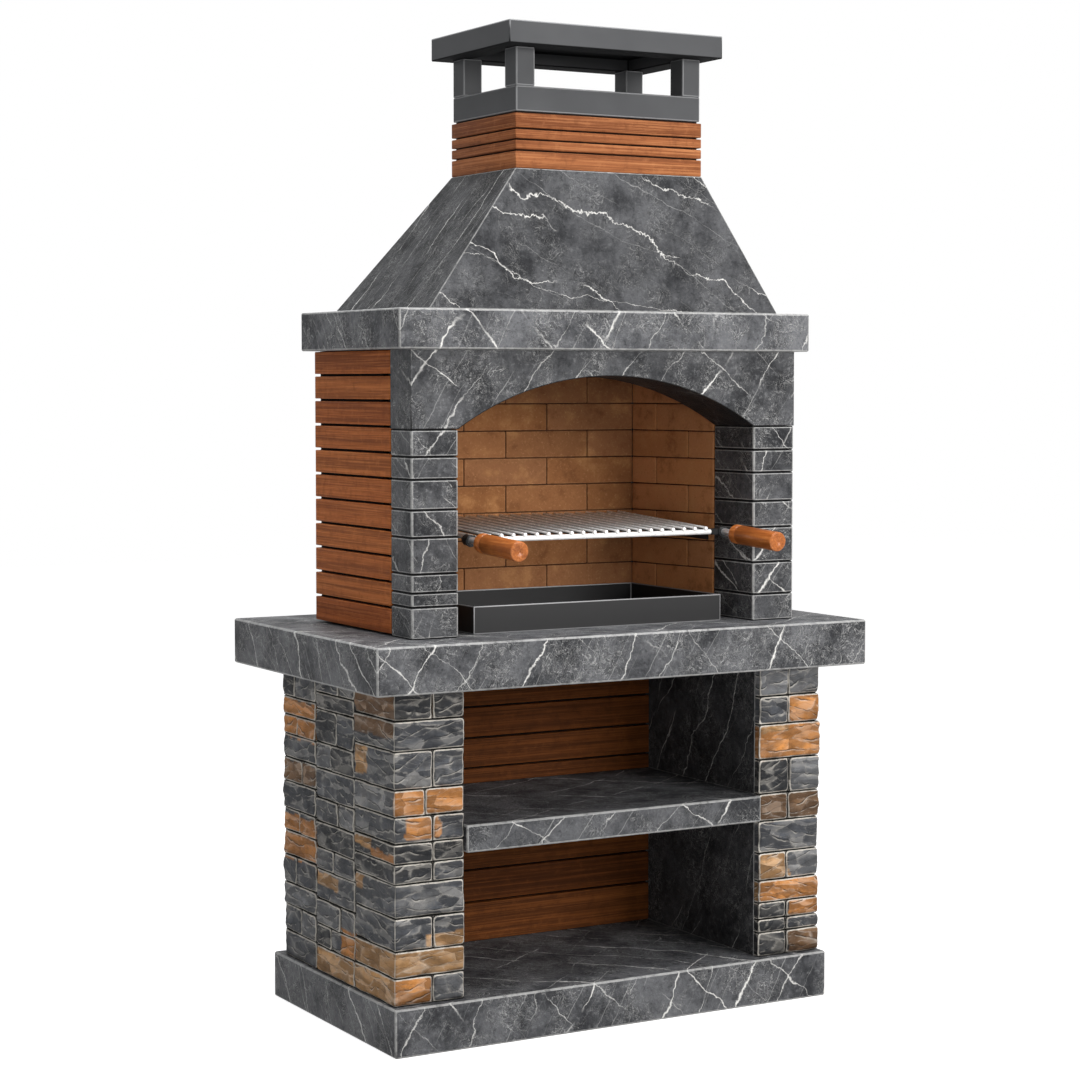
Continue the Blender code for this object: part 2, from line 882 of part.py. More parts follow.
def build_chimney(concrete, wood, metal):
    half = CHIMNEY_WIDTH / 2
    back = hood_front + CHIMNEY_DEPTH
    skin = BAND_THICKNESS + SEAT
    ring(
        "chimney_flue",
        (-half + skin, hood_front + skin, chimney_foot),
        (half - skin, back - skin, chimney_top),
        HOOD_WALL - skin,
        concrete,
    )
    levels = shares(CHIMNEY_HEIGHT, CHIMNEY_BANDS)
    for number, (low, high) in enumerate(zip(levels, levels[1:])):
        shoulder = high - low - SEAT - BAND_REVEAL
        band = ring(
            f"chimney_band_{number + 1}",
            (-half, hood_front, chimney_foot + low),
            (half, back, chimney_foot + low + shoulder),
            BAND_THICKNESS,
            wood,
            BOARD_EDGE,
        )
        lip = ring_mesh(
            half - BAND_LIP_INSET,
            CHIMNEY_DEPTH / 2 - BAND_LIP_INSET,
            BAND_LIP,
            shoulder - BAND_LIP_BITE,
            shoulder + BAND_REVEAL,
        )
        combine(band, [helper(lip, f"band {number + 1} lip")], "UNION")
    collar_half = half - COLLAR_SETBACK
    collar_front = hood_front + COLLAR_SETBACK
    collar_back = back - COLLAR_SETBACK
    ring(
        "chimney_collar",
        (-collar_half, collar_front, collar_foot),
        (collar_half, collar_back, collar_top),
        HOOD_WALL - COLLAR_SETBACK,
        metal,
        METAL_EDGE,
    )
    build_cap(collar_half, collar_front, collar_back, metal)


def build_cap(half, front, back, metal):
    """Four posts on the collar's corners carry the flat cap, which is hollow underneath."""
    foot = collar_top + SEAT
    for side, word in ((LEFT, "left"), (RIGHT, "right")):
        ends = sorted((side * half, side * (half - POST_WIDTH)))
        for place, near, far in (
            ("front", front, front + POST_DEPTH),
            ("back", back - POST_DEPTH, back),
        ):
            box(
                f"cap_post_{word}_{place}",
                (ends[0], near, foot),
                (ends[1], far, foot + POST_HEIGHT),
                metal,
                METAL_EDGE,
            )
    reach_x = half + CAP_OVERHANG
    middle = (front + back) / 2
    reach_y = (back - front) / 2 + CAP_OVERHANG
    bm = bmesh.new()
    add_box(bm, (-reach_x, -reach_y, 0), (reach_x, reach_y, CAP_THICKNESS))
    underside = facing(bm, -AXIS_Z)
    bmesh.ops.inset_region(bm, faces=[underside], thickness=CAP_SOFFIT)
    push(bm, underside, AXIS_Z * CAP_RECESS)
    cap = piece_from(bm, "chimney_cap", metal, (0, middle, cap_foot))
    round_edges(cap, METAL_EDGE)


# Charcoal tray
def charcoal_tray(steel):
    front = body_front + TRAY_SETBACK
    back = lining_back - TRAY_BACK_CLEARANCE
    half = lining_back_side - TRAY_SIDE_CLEARANCE
    slide = bpy.data.objects.new("tray_slide", None)
    bpy.context.collection.objects.link(slide)
    slide.location = (0, front, body_foot)
    bm = bmesh.new()
    add_box(bm, (-half, 0, 0), (half, back - front, TRAY_HEIGHT))
    mouth = facing(bm, AXIS_Z)
    bmesh.ops.inset_region(bm, faces=[mouth], thickness=TRAY_WALL)
    push(bm, mouth, AXIS_Z * (TRAY_WALL - TRAY_HEIGHT))
    piece_from(bm, "charcoal_tray", steel, parent=slide)


# Cooking grate
def round_bar(start, end, radius, segments):
    """A round bar between two points."""
    start = Vector(start)
    end = Vector(end)
    run = end - start
    bm = bmesh.new()
    bmesh.ops.create_cone(
        bm,
        cap_ends=True,
        segments=segments,
        radius1=radius,
        radius2=radius,
        depth=run.length,
        matrix=Matrix.Translation((start + end) / 2) @ run.to_track_quat("Z", "Y").to_matrix().to_4x4(),
    )
    return bm


def cooking_grate(slide, steel):
    """Round bars welded over a frame of round rails."""
    half = GRATE_WIDTH / 2 - RAIL_RADIUS
    start = (-GRATE_WIDTH / 2, 0, 0)
    end = (GRATE_WIDTH / 2, 0, 0)
    bm = round_bar(start, end, RAIL_RADIUS, RAIL_STEPS)
    grate = piece_from(bm, "cooking_grate", steel, parent=slide)
    guides = []
    bm = round_bar((start[0], GRATE_DEPTH, 0), (end[0], GRATE_DEPTH, 0), RAIL_RADIUS, RAIL_STEPS)
    guides.append(helper(bm, "rear rail"))
    for x in (-half, half):
        near = (x, 0, -SIDE_RAIL_DROP)
        far = (x, GRATE_DEPTH, -SIDE_RAIL_DROP)
        bm = round_bar(near, far, SIDE_RAIL_RADIUS, RAIL_STEPS)
        guides.append(helper(bm, "side rail"))
    lie = RAIL_RADIUS + BAR_RADIUS - BAR_WELD
    last = half - BAR_INSET
    for number in range(BAR_COUNT):
        x = -last + 2 * last * number / (BAR_COUNT - 1)
        near = (x, -BAR_OVERRUN, lie)
        far = (x, GRATE_DEPTH + BAR_OVERRUN, lie)
        bm = round_bar(near, far, BAR_RADIUS, BAR_STEPS)
        guides.append(helper(bm, f"grate bar {number + 1}"))
    combine(grate, guides, "UNION")
    facets = grate.modifiers.new("even facets", "TRIANGULATE")
    facets.ngon_method = "BEAUTY"
    return shade_round(grate)


def grate_runner(name, side, steel):
    """A ledge on the brick wall that the grate's side rail slides along."""
    inner = side * (GRATE_WIDTH / 2 - RUNNER_REACH)
    near = lining_front + RUNNER_END_GAP
    far = lining_back - RUNNER_END_GAP
    splay = math.tan(splay_angle)

    def wall(y):
        return side * (lining_front_side - SEAT / math.cos(splay_angle) - splay * (y - lining_front))

    flange = side * RUNNER_PLATE
    bm = bmesh.new()
    spots = [
        bm.verts.new((inner, near, 0)),
        bm.verts.new((wall(near) - flange, near, 0)),
        bm.verts.new((wall(near), near, 0)),
        bm.verts.new((wall(far), far, 0)),
        bm.verts.new((wall(far) - flange, far, 0)),
        bm.verts.new((inner, far, 0)),
    ]
    ledge = bm.faces.new((spots[0], spots[1], spots[4], spots[5]))
    edge = bm.faces.new((spots[1], spots[2], spots[3], spots[4]))
    lift(bm, [ledge, edge], AXIS_Z * RUNNER_PLATE)
    bmesh.ops.recalc_face_normals(bm, faces=bm.faces)
    under = [face for face in bm.faces if face.normal.z < -0.9]
    drop = max(under, key=lambda face: abs(face.calc_center_median().x))
    push(bm, drop, AXIS_Z * -RUNNER_FLANGE)
    for corner in bm.verts:
        corner.co.z += math.tan(GRATE_TILT) * (corner.co.y - grate_front)
    top = rail_height - (RAIL_RADIUS + SEAT) / math.cos(GRATE_TILT)
    piece_from(bm, name, steel, (0, 0, top - RUNNER_PLATE))


def turned(profile, steps):
    """Spins a profile of (radius, distance along -Y) about the handle's axis."""
    bm = bmesh.new()
    points = [bm.verts.new((radius, -reach, 0)) for radius, reach in profile]
    edges = [bm.edges.new(pair) for pair in zip(points, points[1:])]
    bmesh.ops.spin(
        bm,
        geom=points + edges,
        cent=(0, 0, 0),
        axis=AXIS_Y,
        angle=2 * math.pi,
        steps=steps,
        use_merge=True,
    )
    bmesh.ops.remove_doubles(bm, verts=bm.verts, dist=0.00001)
    return bm


def handle(word, side, slide, steel, chrome, varnish):
    """Socket on the rail's end, rod in the socket, wooden grip on the rod."""
    axis_x = side * (GRATE_WIDTH / 2 + HANDLE_REACH)
    axis = bpy.data.objects.new(f"{word}_handle_axis", None)
    bpy.context.collection.objects.link(axis)
    axis.parent = slide
    axis.location = (axis_x, SOCKET_BEHIND_RAIL, 0)
    socket_bore = ROD_RADIUS + ROD_CLEARANCE
    tube = turned(
        (
            (socket_bore, 0),
            (SOCKET_RADIUS, 0),
            (SOCKET_RADIUS, SOCKET_LENGTH),
            (socket_bore, SOCKET_LENGTH),
            (socket_bore, 0),
        ),
        ROUND_STEPS,
    )
    socket = piece_from(tube, f"{word}_handle_socket", steel, parent=axis)
    lug_out = side * (SEAT - HANDLE_REACH)
    lug_in = -side * (socket_bore + SOCKET_RADIUS) / 2
    ends = sorted((lug_out, lug_in))
    bm = bmesh.new()
    add_box(
        bm,
        (ends[0], -SOCKET_LENGTH + LUG_HEIGHT / 4, -LUG_HEIGHT / 2),
        (ends[1], -LUG_HEIGHT / 4, LUG_HEIGHT / 2),
    )
    combine(socket, [helper(bm, f"{word} lug"), clip_ring(word, side)], "UNION")
    shade_round(socket)
    rod_start = SOCKET_LENGTH - ROD_IN_SOCKET
    grip_start = SOCKET_LENGTH + ROD_SHOWN
    rod_profile = (
        (0, rod_start),
        (ROD_RADIUS, rod_start),
        (ROD_RADIUS, grip_start + ROD_IN_GRIP - SEAT),
        (0, grip_start + ROD_IN_GRIP - SEAT),
    )
    rod = piece_from(turned(rod_profile, ROUND_STEPS), f"{word}_handle_rod", chrome, parent=axis)
    shade_round(rod)
    shade_round(grip(word, grip_start, axis, varnish))


def clip_ring(word, side):
    """An open ring of wire that hugs the socket's mouth from below."""
    bm = bmesh.new()
    centre = -SOCKET_LENGTH + CLIP_WIRE
    loop = bmesh.ops.create_circle(
        bm,
        cap_ends=True,
        segments=WIRE_STEPS,
        radius=CLIP_WIRE,
        matrix=Matrix.Translation((side * SOCKET_RADIUS, centre, 0)),
    )
    disc = list({face for corner in loop["verts"] for face in corner.link_faces})
    bmesh.ops.spin(
        bm,
        geom=disc,
        cent=(0, centre, 0),
        axis=AXIS_Y,
        angle=side * CLIP_ARC,
        steps=CLIP_STEPS,
    )
    return helper(bm, f"{word} clip")


def grip(word, start, axis, varnish):
    """A turned grip: a collar, a groove, a straight barrel and an eased nose."""
    bore = ROD_RADIUS + ROD_CLEARANCE
    groove = start + GRIP_COLLAR
    end = start + GRIP_LENGTH
    profile = (
        (0, start + ROD_IN_GRIP),
        (bore, start + ROD_IN_GRIP),
        (bore, start),
        (GRIP_RADIUS - 2 * GRIP_NOSE, start),
        (GRIP_RADIUS - GRIP_NOSE / 2, start + GRIP_NOSE),
        (GRIP_RADIUS, start + 2 * GRIP_NOSE),
        (GRIP_RADIUS, groove),
        (GRIP_RADIUS - GRIP_GROOVE, groove + GRIP_GROOVE_WIDTH / 2),
        (GRIP_RADIUS, groove + GRIP_GROOVE_WIDTH),
        (GRIP_RADIUS, end - GRIP_NOSE),
        (GRIP_RADIUS - GRIP_NOSE, end),
        (0, end),
    )
    return piece_from(turned(profile, ROUND_STEPS), f"{word}_grip", varnish, parent=axis)


def build_grate(steel, stainless, chrome, varnish):
    slide = bpy.data.objects.new("grate_slide", None)
    bpy.context.collection.objects.link(slide)
    slide.location = (0, grate_front, rail_height)
    slide.rotation_euler = (GRATE_TILT, 0, 0)
    cooking_grate(slide, stainless)
    for side, word in ((LEFT, "left"), (RIGHT, "right")):
        grate_runner(f"{word}_grate_runner", side, steel)
        handle(word, side, slide, steel, chrome, varnish)


def main():
    clear_scene()
    stone = finish("dark veined stone", (0.072, 0.074, 0.080), 0.55)
    ledge = finish("split ledgestone", (0.11, 0.11, 0.115), 0.80)
    concrete = finish("cast concrete", (0.16, 0.16, 0.16), 0.90)
    wood = finish("red-brown timber", (0.30, 0.105, 0.040), 0.60)
    varnish = finish("varnished wood", (0.48, 0.17, 0.055), 0.30)
    brick = finish("firebrick", (0.36, 0.16, 0.075), 0.85)
    steel = finish("black steel", (0.022, 0.022, 0.023), 0.45, 0.6)
    stainless = finish("stainless steel", (0.60, 0.59, 0.57), 0.25, 1.0)
    chrome = finish("chromed steel", (0.62, 0.62, 0.63), 0.12, 1.0)
    metal = finish("anthracite metal", (0.065, 0.068, 0.072), 0.45, 0.3)
    build_base(stone, concrete, ledge, wood)
    build_worktop(stone)
    build_piers(stone)
    arch_lintel(stone)
    firebox_core(concrete)
    firebrick_lining(brick)
    side_cladding(wood)
    mantel_slab(stone)
    build_hood(stone)
    build_chimney(concrete, wood, metal)
    charcoal_tray(steel)
    build_grate(steel, stainless, chrome, varnish)


main()
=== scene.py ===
# %% [markdown]
# A stone garden barbecue, dressed for a studio picture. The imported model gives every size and
# place. This script gives each piece its finish: veined stone, split ledgestone, firebrick,
# timber, varnished grips and four kinds of metal.
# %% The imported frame
import math
import random

import bmesh
import bpy
from mathutils import Matrix, Vector, noise


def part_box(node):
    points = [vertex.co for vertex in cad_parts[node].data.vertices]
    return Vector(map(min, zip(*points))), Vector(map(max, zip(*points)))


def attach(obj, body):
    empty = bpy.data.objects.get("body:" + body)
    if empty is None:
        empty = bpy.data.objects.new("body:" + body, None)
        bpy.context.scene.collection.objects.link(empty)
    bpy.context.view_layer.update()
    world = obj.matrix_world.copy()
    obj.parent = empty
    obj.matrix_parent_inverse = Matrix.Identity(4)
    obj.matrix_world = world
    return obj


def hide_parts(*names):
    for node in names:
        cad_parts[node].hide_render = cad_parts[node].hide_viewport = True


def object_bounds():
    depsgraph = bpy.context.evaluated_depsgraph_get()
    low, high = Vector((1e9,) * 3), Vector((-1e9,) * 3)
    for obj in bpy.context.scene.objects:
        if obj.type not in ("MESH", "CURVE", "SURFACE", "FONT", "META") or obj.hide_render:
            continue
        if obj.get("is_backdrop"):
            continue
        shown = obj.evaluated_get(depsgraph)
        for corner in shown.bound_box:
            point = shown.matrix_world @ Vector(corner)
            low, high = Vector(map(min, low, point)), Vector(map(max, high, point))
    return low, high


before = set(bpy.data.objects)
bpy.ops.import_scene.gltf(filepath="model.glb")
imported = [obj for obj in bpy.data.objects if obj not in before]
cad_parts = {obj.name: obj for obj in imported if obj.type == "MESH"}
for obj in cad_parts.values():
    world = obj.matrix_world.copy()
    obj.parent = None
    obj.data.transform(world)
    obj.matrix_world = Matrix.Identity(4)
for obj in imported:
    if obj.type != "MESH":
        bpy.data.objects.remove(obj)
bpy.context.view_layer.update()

AXIS_X = Vector((1, 0, 0))
AXIS_Y = Vector((0, 1, 0))
AXIS_Z = Vector((0, 0, 1))
LEFT = -1
RIGHT = 1

# %% [markdown]
# Node trees are easier to read when a node, its inputs and its links take one line. These small
# helpers add a node and either set each input or link it, depending on what they are given.
# %% Helpers for node trees


def plug(tree, socket, value):
    """Links an output to a socket, or sets the socket to a plain value."""
    if isinstance(value, bpy.types.NodeSocket):
        tree.links.new(value, socket)
    else:
        socket.default_value = value


def add(tree, kind, inputs, **settings):
    node = tree.nodes.new("ShaderNode" + kind)
    for name, value in settings.items():
        setattr(node, name, value)
    for name, value in inputs.items():
        plug(tree, node.inputs[name], value)
    return node


def maths(tree, operation, one, other=0.0):
    node = tree.nodes.new("ShaderNodeMath")
    node.operation = operation
    plug(tree, node.inputs[0], one)
    plug(tree, node.inputs[1], other)
    return node.outputs[0]


def plus(tree, one, other):
    return maths(tree, "ADD", one, other)


def times(tree, one, other):
    return maths(tree, "MULTIPLY", one, other)


def mix(tree, mask, under, over, how="MIX"):
    """Lays one colour over another where the mask is white."""
    node = tree.nodes.new("ShaderNodeMix")
    node.data_type = "RGBA"
    node.blend_type = how
    plug(tree, node.inputs[0], mask)
    plug(tree, node.inputs[6], under)
    plug(tree, node.inputs[7], over)
    return node.outputs[2]


def ease(tree, value, low, high, start=0.0, end=1.0):
    """A smooth step of a value between two limits."""
    inputs = {"Value": value, "From Min": low, "From Max": high, "To Min": start, "To Max": end}
    return add(tree, "MapRange", inputs, interpolation_type="SMOOTHSTEP").outputs[0]


def speckle(tree, vector, scale, detail=3.0, roughness=0.5, output="Fac"):
    inputs = {"Vector": vector, "Scale": scale, "Detail": detail, "Roughness": roughness}
    return add(tree, "TexNoise", inputs).outputs[output]


def carried(tree, name, output="Fac"):
    """A value or colour that the mesh itself carries at each point."""
    return add(tree, "Attribute", {}, attribute_name=name).outputs[output]


def moved(tree, vector, distance):
    """Coordinates moved by one distance along all three axes, for another part of the pattern."""
    aside = add(tree, "CombineXYZ", {"X": distance, "Y": distance, "Z": distance}).outputs[0]
    return add(tree, "VectorMath", {0: vector, 1: aside}, operation="ADD").outputs[0]


def placed(tree, vector, size, turn=(0.0, 0.0, 0.0)):
    """Turns a pattern, then gives it a size in metres along each turned axis."""
    inputs = {"Vector": vector, "Rotation": turn, "Scale": size}
    return add(tree, "Mapping", inputs, vector_type="TEXTURE").outputs[0]


def colour(red, green, blue):
    """A colour as seen on a screen, 0 to 255, turned into the linear values that shaders use."""
    values = [part / 255 for part in (red, green, blue)]
    linear = [v / 12.92 if v <= 0.04045 else ((v + 0.055) / 1.055) ** 2.4 for v in values]
    return (*linear, 1.0)


# %% [markdown]
# A node group is an effect that several materials share. It has named inputs and outputs, so each
# material can use it with its own values. These helpers make a group and place it, and bend the
# coordinates that a pattern reads, because a pattern on straight coordinates looks printed.
# %% Making and placing groups


def new_group(name, inputs, outputs):
    tree = bpy.data.node_groups.new(name, "ShaderNodeTree")
    for label, kind, value in inputs:
        socket = tree.interface.new_socket(label, in_out="INPUT", socket_type="NodeSocket" + kind)
        if value is not None:
            socket.default_value = value
    for label, kind in outputs:
        tree.interface.new_socket(label, in_out="OUTPUT", socket_type="NodeSocket" + kind)
    return tree, tree.nodes.new("NodeGroupInput").outputs, tree.nodes.new("NodeGroupOutput").inputs


def use_group(tree, group, inputs):
    node = tree.nodes.new("ShaderNodeGroup")
    node.node_tree = group
    for name, value in inputs.items():
        plug(tree, node.inputs[name], value)
    return node.outputs


def wander(tree, vector, scale, reach, detail):
    """Moves a pattern's coordinates about by a noise, so that its lines wander."""
    drift = speckle(tree, vector, scale, detail, output="Color")
    swing = add(tree, "VectorMath", {0: drift, 1: (0.5, 0.5, 0.5)}, operation="SUBTRACT").outputs[0]
    scaled = add(tree, "VectorMath", {0: swing, 1: (reach, reach, reach)}, operation="MULTIPLY")
    return add(tree, "VectorMath", {0: vector, 1: scaled.outputs[0]}, operation="ADD").outputs[0]


def centred(tree, value, reach):
    """A noise value moved to lie round zero, and scaled."""
    return times(tree, maths(tree, "SUBTRACT", value, 0.5), reach)


# %% [markdown]
# A vein is a thin bent sheet of pale mineral, so on any cut face it shows as a line. The
# coordinates are bent by two noises, and a line stands wherever the bent X passes a multiple of
# the spacing. Another noise breaks the lines off, and each gets a strength and width of its own.
# %% Long veins


def vein_group():
    """Long thin veins: bent planes at a spacing along X, in metres, each with its own strength."""
    inputs = (
        ("Vector", "Vector", None),
        ("Spacing", "Float", 0.16),
        ("Width", "Float", 0.0016),
        ("Amount", "Float", 0.5),
        ("Seed", "Float", 0.0),
    )
    tree, given, out = new_group("stone veins", inputs, (("Vein", "Float"),))
    spot = moved(tree, given["Vector"], given["Seed"])
    sway = times(tree, given["Spacing"], 1.5)
    broad = centred(tree, speckle(tree, spot, 3.0, 2.0), sway)
    shake = times(tree, given["Spacing"], 0.30)
    jagged = centred(tree, speckle(tree, spot, 22.0, 4.0, 0.65), shake)
    along = add(tree, "SeparateXYZ", {"Vector": spot}).outputs["X"]
    path = plus(tree, plus(tree, along, broad), jagged)
    half = times(tree, given["Spacing"], 0.5)
    gap = maths(tree, "PINGPONG", path, half)
    number = maths(tree, "ROUND", maths(tree, "DIVIDE", path, given["Spacing"]))
    own = add(tree, "TexWhiteNoise", {"W": number}, noise_dimensions="1D").outputs["Value"]
    swell = ease(tree, speckle(tree, spot, 24.0, 3.0), 0.3, 0.7, 0.35, 1.5)
    own_width = ease(tree, own, 0.0, 1.0, 0.5, 1.3)
    thick = times(tree, times(tree, given["Width"], swell), own_width)
    line = ease(tree, gap, 0.0, thick, 1.0, 0.0)
    rise = add(tree, "CombineXYZ", {"X": 0.0, "Y": 0.0, "Z": times(tree, number, 3.7)}).outputs[0]
    apart = add(tree, "VectorMath", {0: spot, 1: rise}, operation="ADD").outputs[0]
    limit = maths(tree, "SUBTRACT", 1.0, given["Amount"])
    shown = ease(tree, speckle(tree, apart, 4.2, 3.0), limit, plus(tree, limit, 0.10))
    strength = ease(tree, own, 0.0, 1.0, 0.45, 1.0)
    plug(tree, out["Vein"], times(tree, times(tree, line, shown), strength))
    return tree


VEINS = vein_group()
print("group:", VEINS.name)

# %% [markdown]
# Between the veins, dark marble is full of fine curly lines. A contour of a strongly bent noise
# makes them, and a second contour close by paints a shadow along one side of each line.
# %% Curly lines


def curl_group():
    """Curly hair lines: a contour of a bent noise, with a painted shadow along one side of it."""
    inputs = (("Vector", "Vector", None), ("Scale", "Float", 40.0), ("Width", "Float", 0.02))
    outputs = (("Line", "Float"), ("Shadow", "Float"), ("Height", "Float"))
    tree, given, out = new_group("curly lines", inputs, outputs)
    bent = {"Vector": given["Vector"], "Scale": given["Scale"], "Detail": 4.0}
    bent.update({"Roughness": 0.62, "Distortion": 0.9})
    field = add(tree, "TexNoise", bent).outputs["Fac"]
    gap = maths(tree, "ABSOLUTE", maths(tree, "SUBTRACT", field, 0.5))
    below = maths(tree, "ABSOLUTE", maths(tree, "SUBTRACT", field, 0.455))
    patches = ease(tree, speckle(tree, given["Vector"], 14.0, 3.0), 0.40, 0.60)
    line = ease(tree, gap, 0.0, given["Width"], 1.0, 0.0)
    shadow = ease(tree, below, 0.0, times(tree, given["Width"], 1.6), 1.0, 0.0)
    plug(tree, out["Line"], times(tree, line, patches))
    plug(tree, out["Shadow"], times(tree, shadow, patches))
    plug(tree, out["Height"], ease(tree, field, 0.40, 0.60))
    return tree


CURLS = curl_group()
print("group:", CURLS.name)

# %% [markdown]
# Stone that is split breaks in two ways. Across its layers it leaves facets, which are cells of a
# Voronoi pattern here, each with its own lean. Along its layers it leaves steps, made by cutting
# the height into bent slices. Each slice gets a painted highlight on its lip and painted shade at
# its foot, and the lean of each facet is later used to paint it lighter or darker, as light falls.
# %% Facets and layers


def facet_group():
    """Broken faces: cells that each lean their own way, with ridges where they meet."""
    inputs = (("Vector", "Vector", None), ("Size", "Vector", (0.03, 0.03, 0.015)))
    outputs = (("Height", "Float"), ("Shade", "Float"), ("Ridge", "Float"))
    tree, given, out = new_group("cleft facets", inputs, outputs)
    bent = wander(tree, given["Vector"], 20.0, 0.018, 3.0)
    lie = add(tree, "VectorMath", {0: bent, 1: given["Size"]}, operation="DIVIDE").outputs[0]
    cells = add(tree, "TexVoronoi", {"Vector": lie, "Scale": 1.0}, feature="F1")
    away = add(tree, "VectorMath", {0: lie, 1: cells.outputs["Position"]}, operation="SUBTRACT")
    lean = add(tree, "VectorMath", {0: cells.outputs["Color"], 1: (0.5, 0.5, 0.5)}, operation="SUBTRACT")
    dot = add(tree, "VectorMath", {0: away.outputs[0], 1: lean.outputs[0]}, operation="DOT_PRODUCT")
    border = add(tree, "TexVoronoi", {"Vector": lie, "Scale": 1.0}, feature="DISTANCE_TO_EDGE")
    plug(tree, out["Height"], dot.outputs["Value"])
    plug(tree, out["Shade"], add(tree, "SeparateXYZ", {"Vector": cells.outputs["Color"]}).outputs["X"])
    plug(tree, out["Ridge"], ease(tree, border.outputs["Distance"], 0.0, 0.09, 1.0, 0.0))
    return tree


def layer_group():
    """Broken layers: bent steps in height, each with a painted highlight on its lip and painted shade at its
    foot.
    """
    inputs = (("Vector", "Vector", None), ("Thickness", "Float", 0.015), ("Shift", "Float", 0.0))
    outputs = [(label, "Float") for label in ("Height", "Lip", "Foot", "Rise")]
    tree, given, out = new_group("broken layers", inputs, outputs)
    spot = moved(tree, given["Vector"], times(tree, given["Shift"], 7.0))
    swing = centred(tree, speckle(tree, spot, 15.0, 2.0, 0.45), 0.052)
    parts = add(tree, "SeparateXYZ", {"Vector": spot}).outputs
    lean = centred(tree, maths(tree, "FRACT", times(tree, given["Shift"], 5.3)), 0.75)
    slant = times(tree, plus(tree, parts["X"], parts["Y"]), lean)
    upward = plus(tree, plus(tree, parts["Z"], slant), swing)
    stack = maths(tree, "DIVIDE", upward, given["Thickness"])
    number = maths(tree, "FLOOR", stack)
    part = maths(tree, "FRACT", stack)
    own = add(tree, "TexWhiteNoise", {"W": number}, noise_dimensions="1D").outputs["Value"]
    broken = ease(tree, speckle(tree, spot, 30.0, 3.0), 0.46, 0.60)
    foot = ease(tree, part, 0.0, 0.14, 1.0, 0.0)
    foot_shown = ease(tree, broken, 0.0, 1.0, 0.25, 1.0)
    plug(tree, out["Height"], plus(tree, times(tree, own, 0.5), times(tree, part, 0.7)))
    plug(tree, out["Lip"], times(tree, ease(tree, part, 0.84, 0.96), broken))
    plug(tree, out["Rise"], ease(tree, part, 0.15, 1.0))
    plug(tree, out["Foot"], times(tree, foot, foot_shown))
    return tree


FACETS = facet_group()
LAYERS = layer_group()
print("groups:", FACETS.name, "and", LAYERS.name)

# %% [markdown]
# The last three are small but shared by most finishes: pale edges and painted shade, mineral
# grit for a fine bump, and timber grain. The pale edges are partly wear and partly painted
# highlight. They follow a mask that each mesh carries, so they stay at the edges, and a noise
# breaks them up. Where the mask is below zero, it marks painted shade.
# %% Wear and painted light, grit and grain


def wear_and_light_group():
    """Pale edges of wear and painted highlight, and painted shade: the piece's mask, broken up by noise."""
    inputs = (("Vector", "Vector", None), ("Amount", "Float", 0.6), ("Scale", "Float", 60.0))
    tree, given, out = new_group("edge wear and painted light", inputs, (("Wear_and_highlight", "Float"), ("Painted_shade", "Float")))
    edge = carried(tree, "wear_and_painted_light")
    chips = speckle(tree, given["Vector"], given["Scale"], 4.0, 0.6)
    total = plus(tree, edge, centred(tree, chips, 0.9))
    limit = maths(tree, "SUBTRACT", 1.25, given["Amount"])
    # Pale edges: partly wear, partly painted highlight.
    plug(tree, out["Wear_and_highlight"], ease(tree, total, limit, plus(tree, limit, 0.45)))
    # Painted shade where the mask is below zero.
    plug(tree, out["Painted_shade"], ease(tree, edge, -0.1, -0.7))
    return tree


def grit_group():
    """Fine grit and pits: a height for bump, and a mask of small dark pits."""
    inputs = (("Vector", "Vector", None), ("Scale", "Float", 300.0))
    tree, given, out = new_group("mineral grit", inputs, (("Height", "Float"), ("Pits", "Float")))
    grains = speckle(tree, given["Vector"], given["Scale"], 3.0, 0.6)
    coarse = times(tree, given["Scale"], 0.22)
    lumps = speckle(tree, given["Vector"], coarse, 4.0, 0.6)
    plug(tree, out["Height"], plus(tree, times(tree, grains, 0.4), lumps))
    plug(tree, out["Pits"], ease(tree, lumps, 0.60, 0.72))
    return tree


def grain_group():
    """Timber grain: fine streaks along the boards, broad ones under them, and short pores."""
    inputs = (("Vector", "Vector", None), ("Shift", "Float", 0.0))
    outputs = (("Grain", "Float"), ("Broad", "Float"), ("Pores", "Float"))
    tree, given, out = new_group("timber grain", inputs, outputs)
    bent = wander(tree, moved(tree, given["Vector"], given["Shift"]), 0.35, 1.1, 2.0)
    fine = speckle(tree, bent, 1.0, 4.0, 0.65)
    broad = speckle(tree, bent, 0.22, 2.0, 0.5)
    near = add(tree, "VectorMath", {0: bent, 1: (4.0, 4.0, 2.2)}, operation="MULTIPLY").outputs[0]
    plug(tree, out["Grain"], ease(tree, fine, 0.30, 0.70))
    plug(tree, out["Broad"], ease(tree, broad, 0.30, 0.70))
    plug(tree, out["Pores"], ease(tree, speckle(tree, near, 1.0, 2.0, 0.6), 0.58, 0.70))
    return tree


WEAR_AND_LIGHT = wear_and_light_group()
GRIT = grit_group()
GRAIN = grain_group()
print("groups:", len(bpy.data.node_groups), "in all")

# %% [markdown]
# Every material starts from one Principled shader and the Object coordinates, so that a pattern
# stays with its piece in any view. Bump comes from a height that is written in metres.
# %% A material's start and end


def new_material(name, roughness, metallic=0.0, specular=0.13):
    material = bpy.data.materials.new(name)
    material.use_nodes = True
    tree = material.node_tree
    shader = tree.nodes["Principled BSDF"]
    shader.inputs["Roughness"].default_value = roughness
    shader.inputs["Metallic"].default_value = metallic
    shader.inputs["Specular IOR Level"].default_value = specular
    vector = tree.nodes.new("ShaderNodeTexCoord").outputs["Object"]
    return material, tree, shader, vector


def relief(tree, shader, height, depth):
    bump = add(tree, "Bump", {"Height": height, "Distance": depth, "Strength": 1.0})
    tree.links.new(bump.outputs[0], shader.inputs["Normal"])
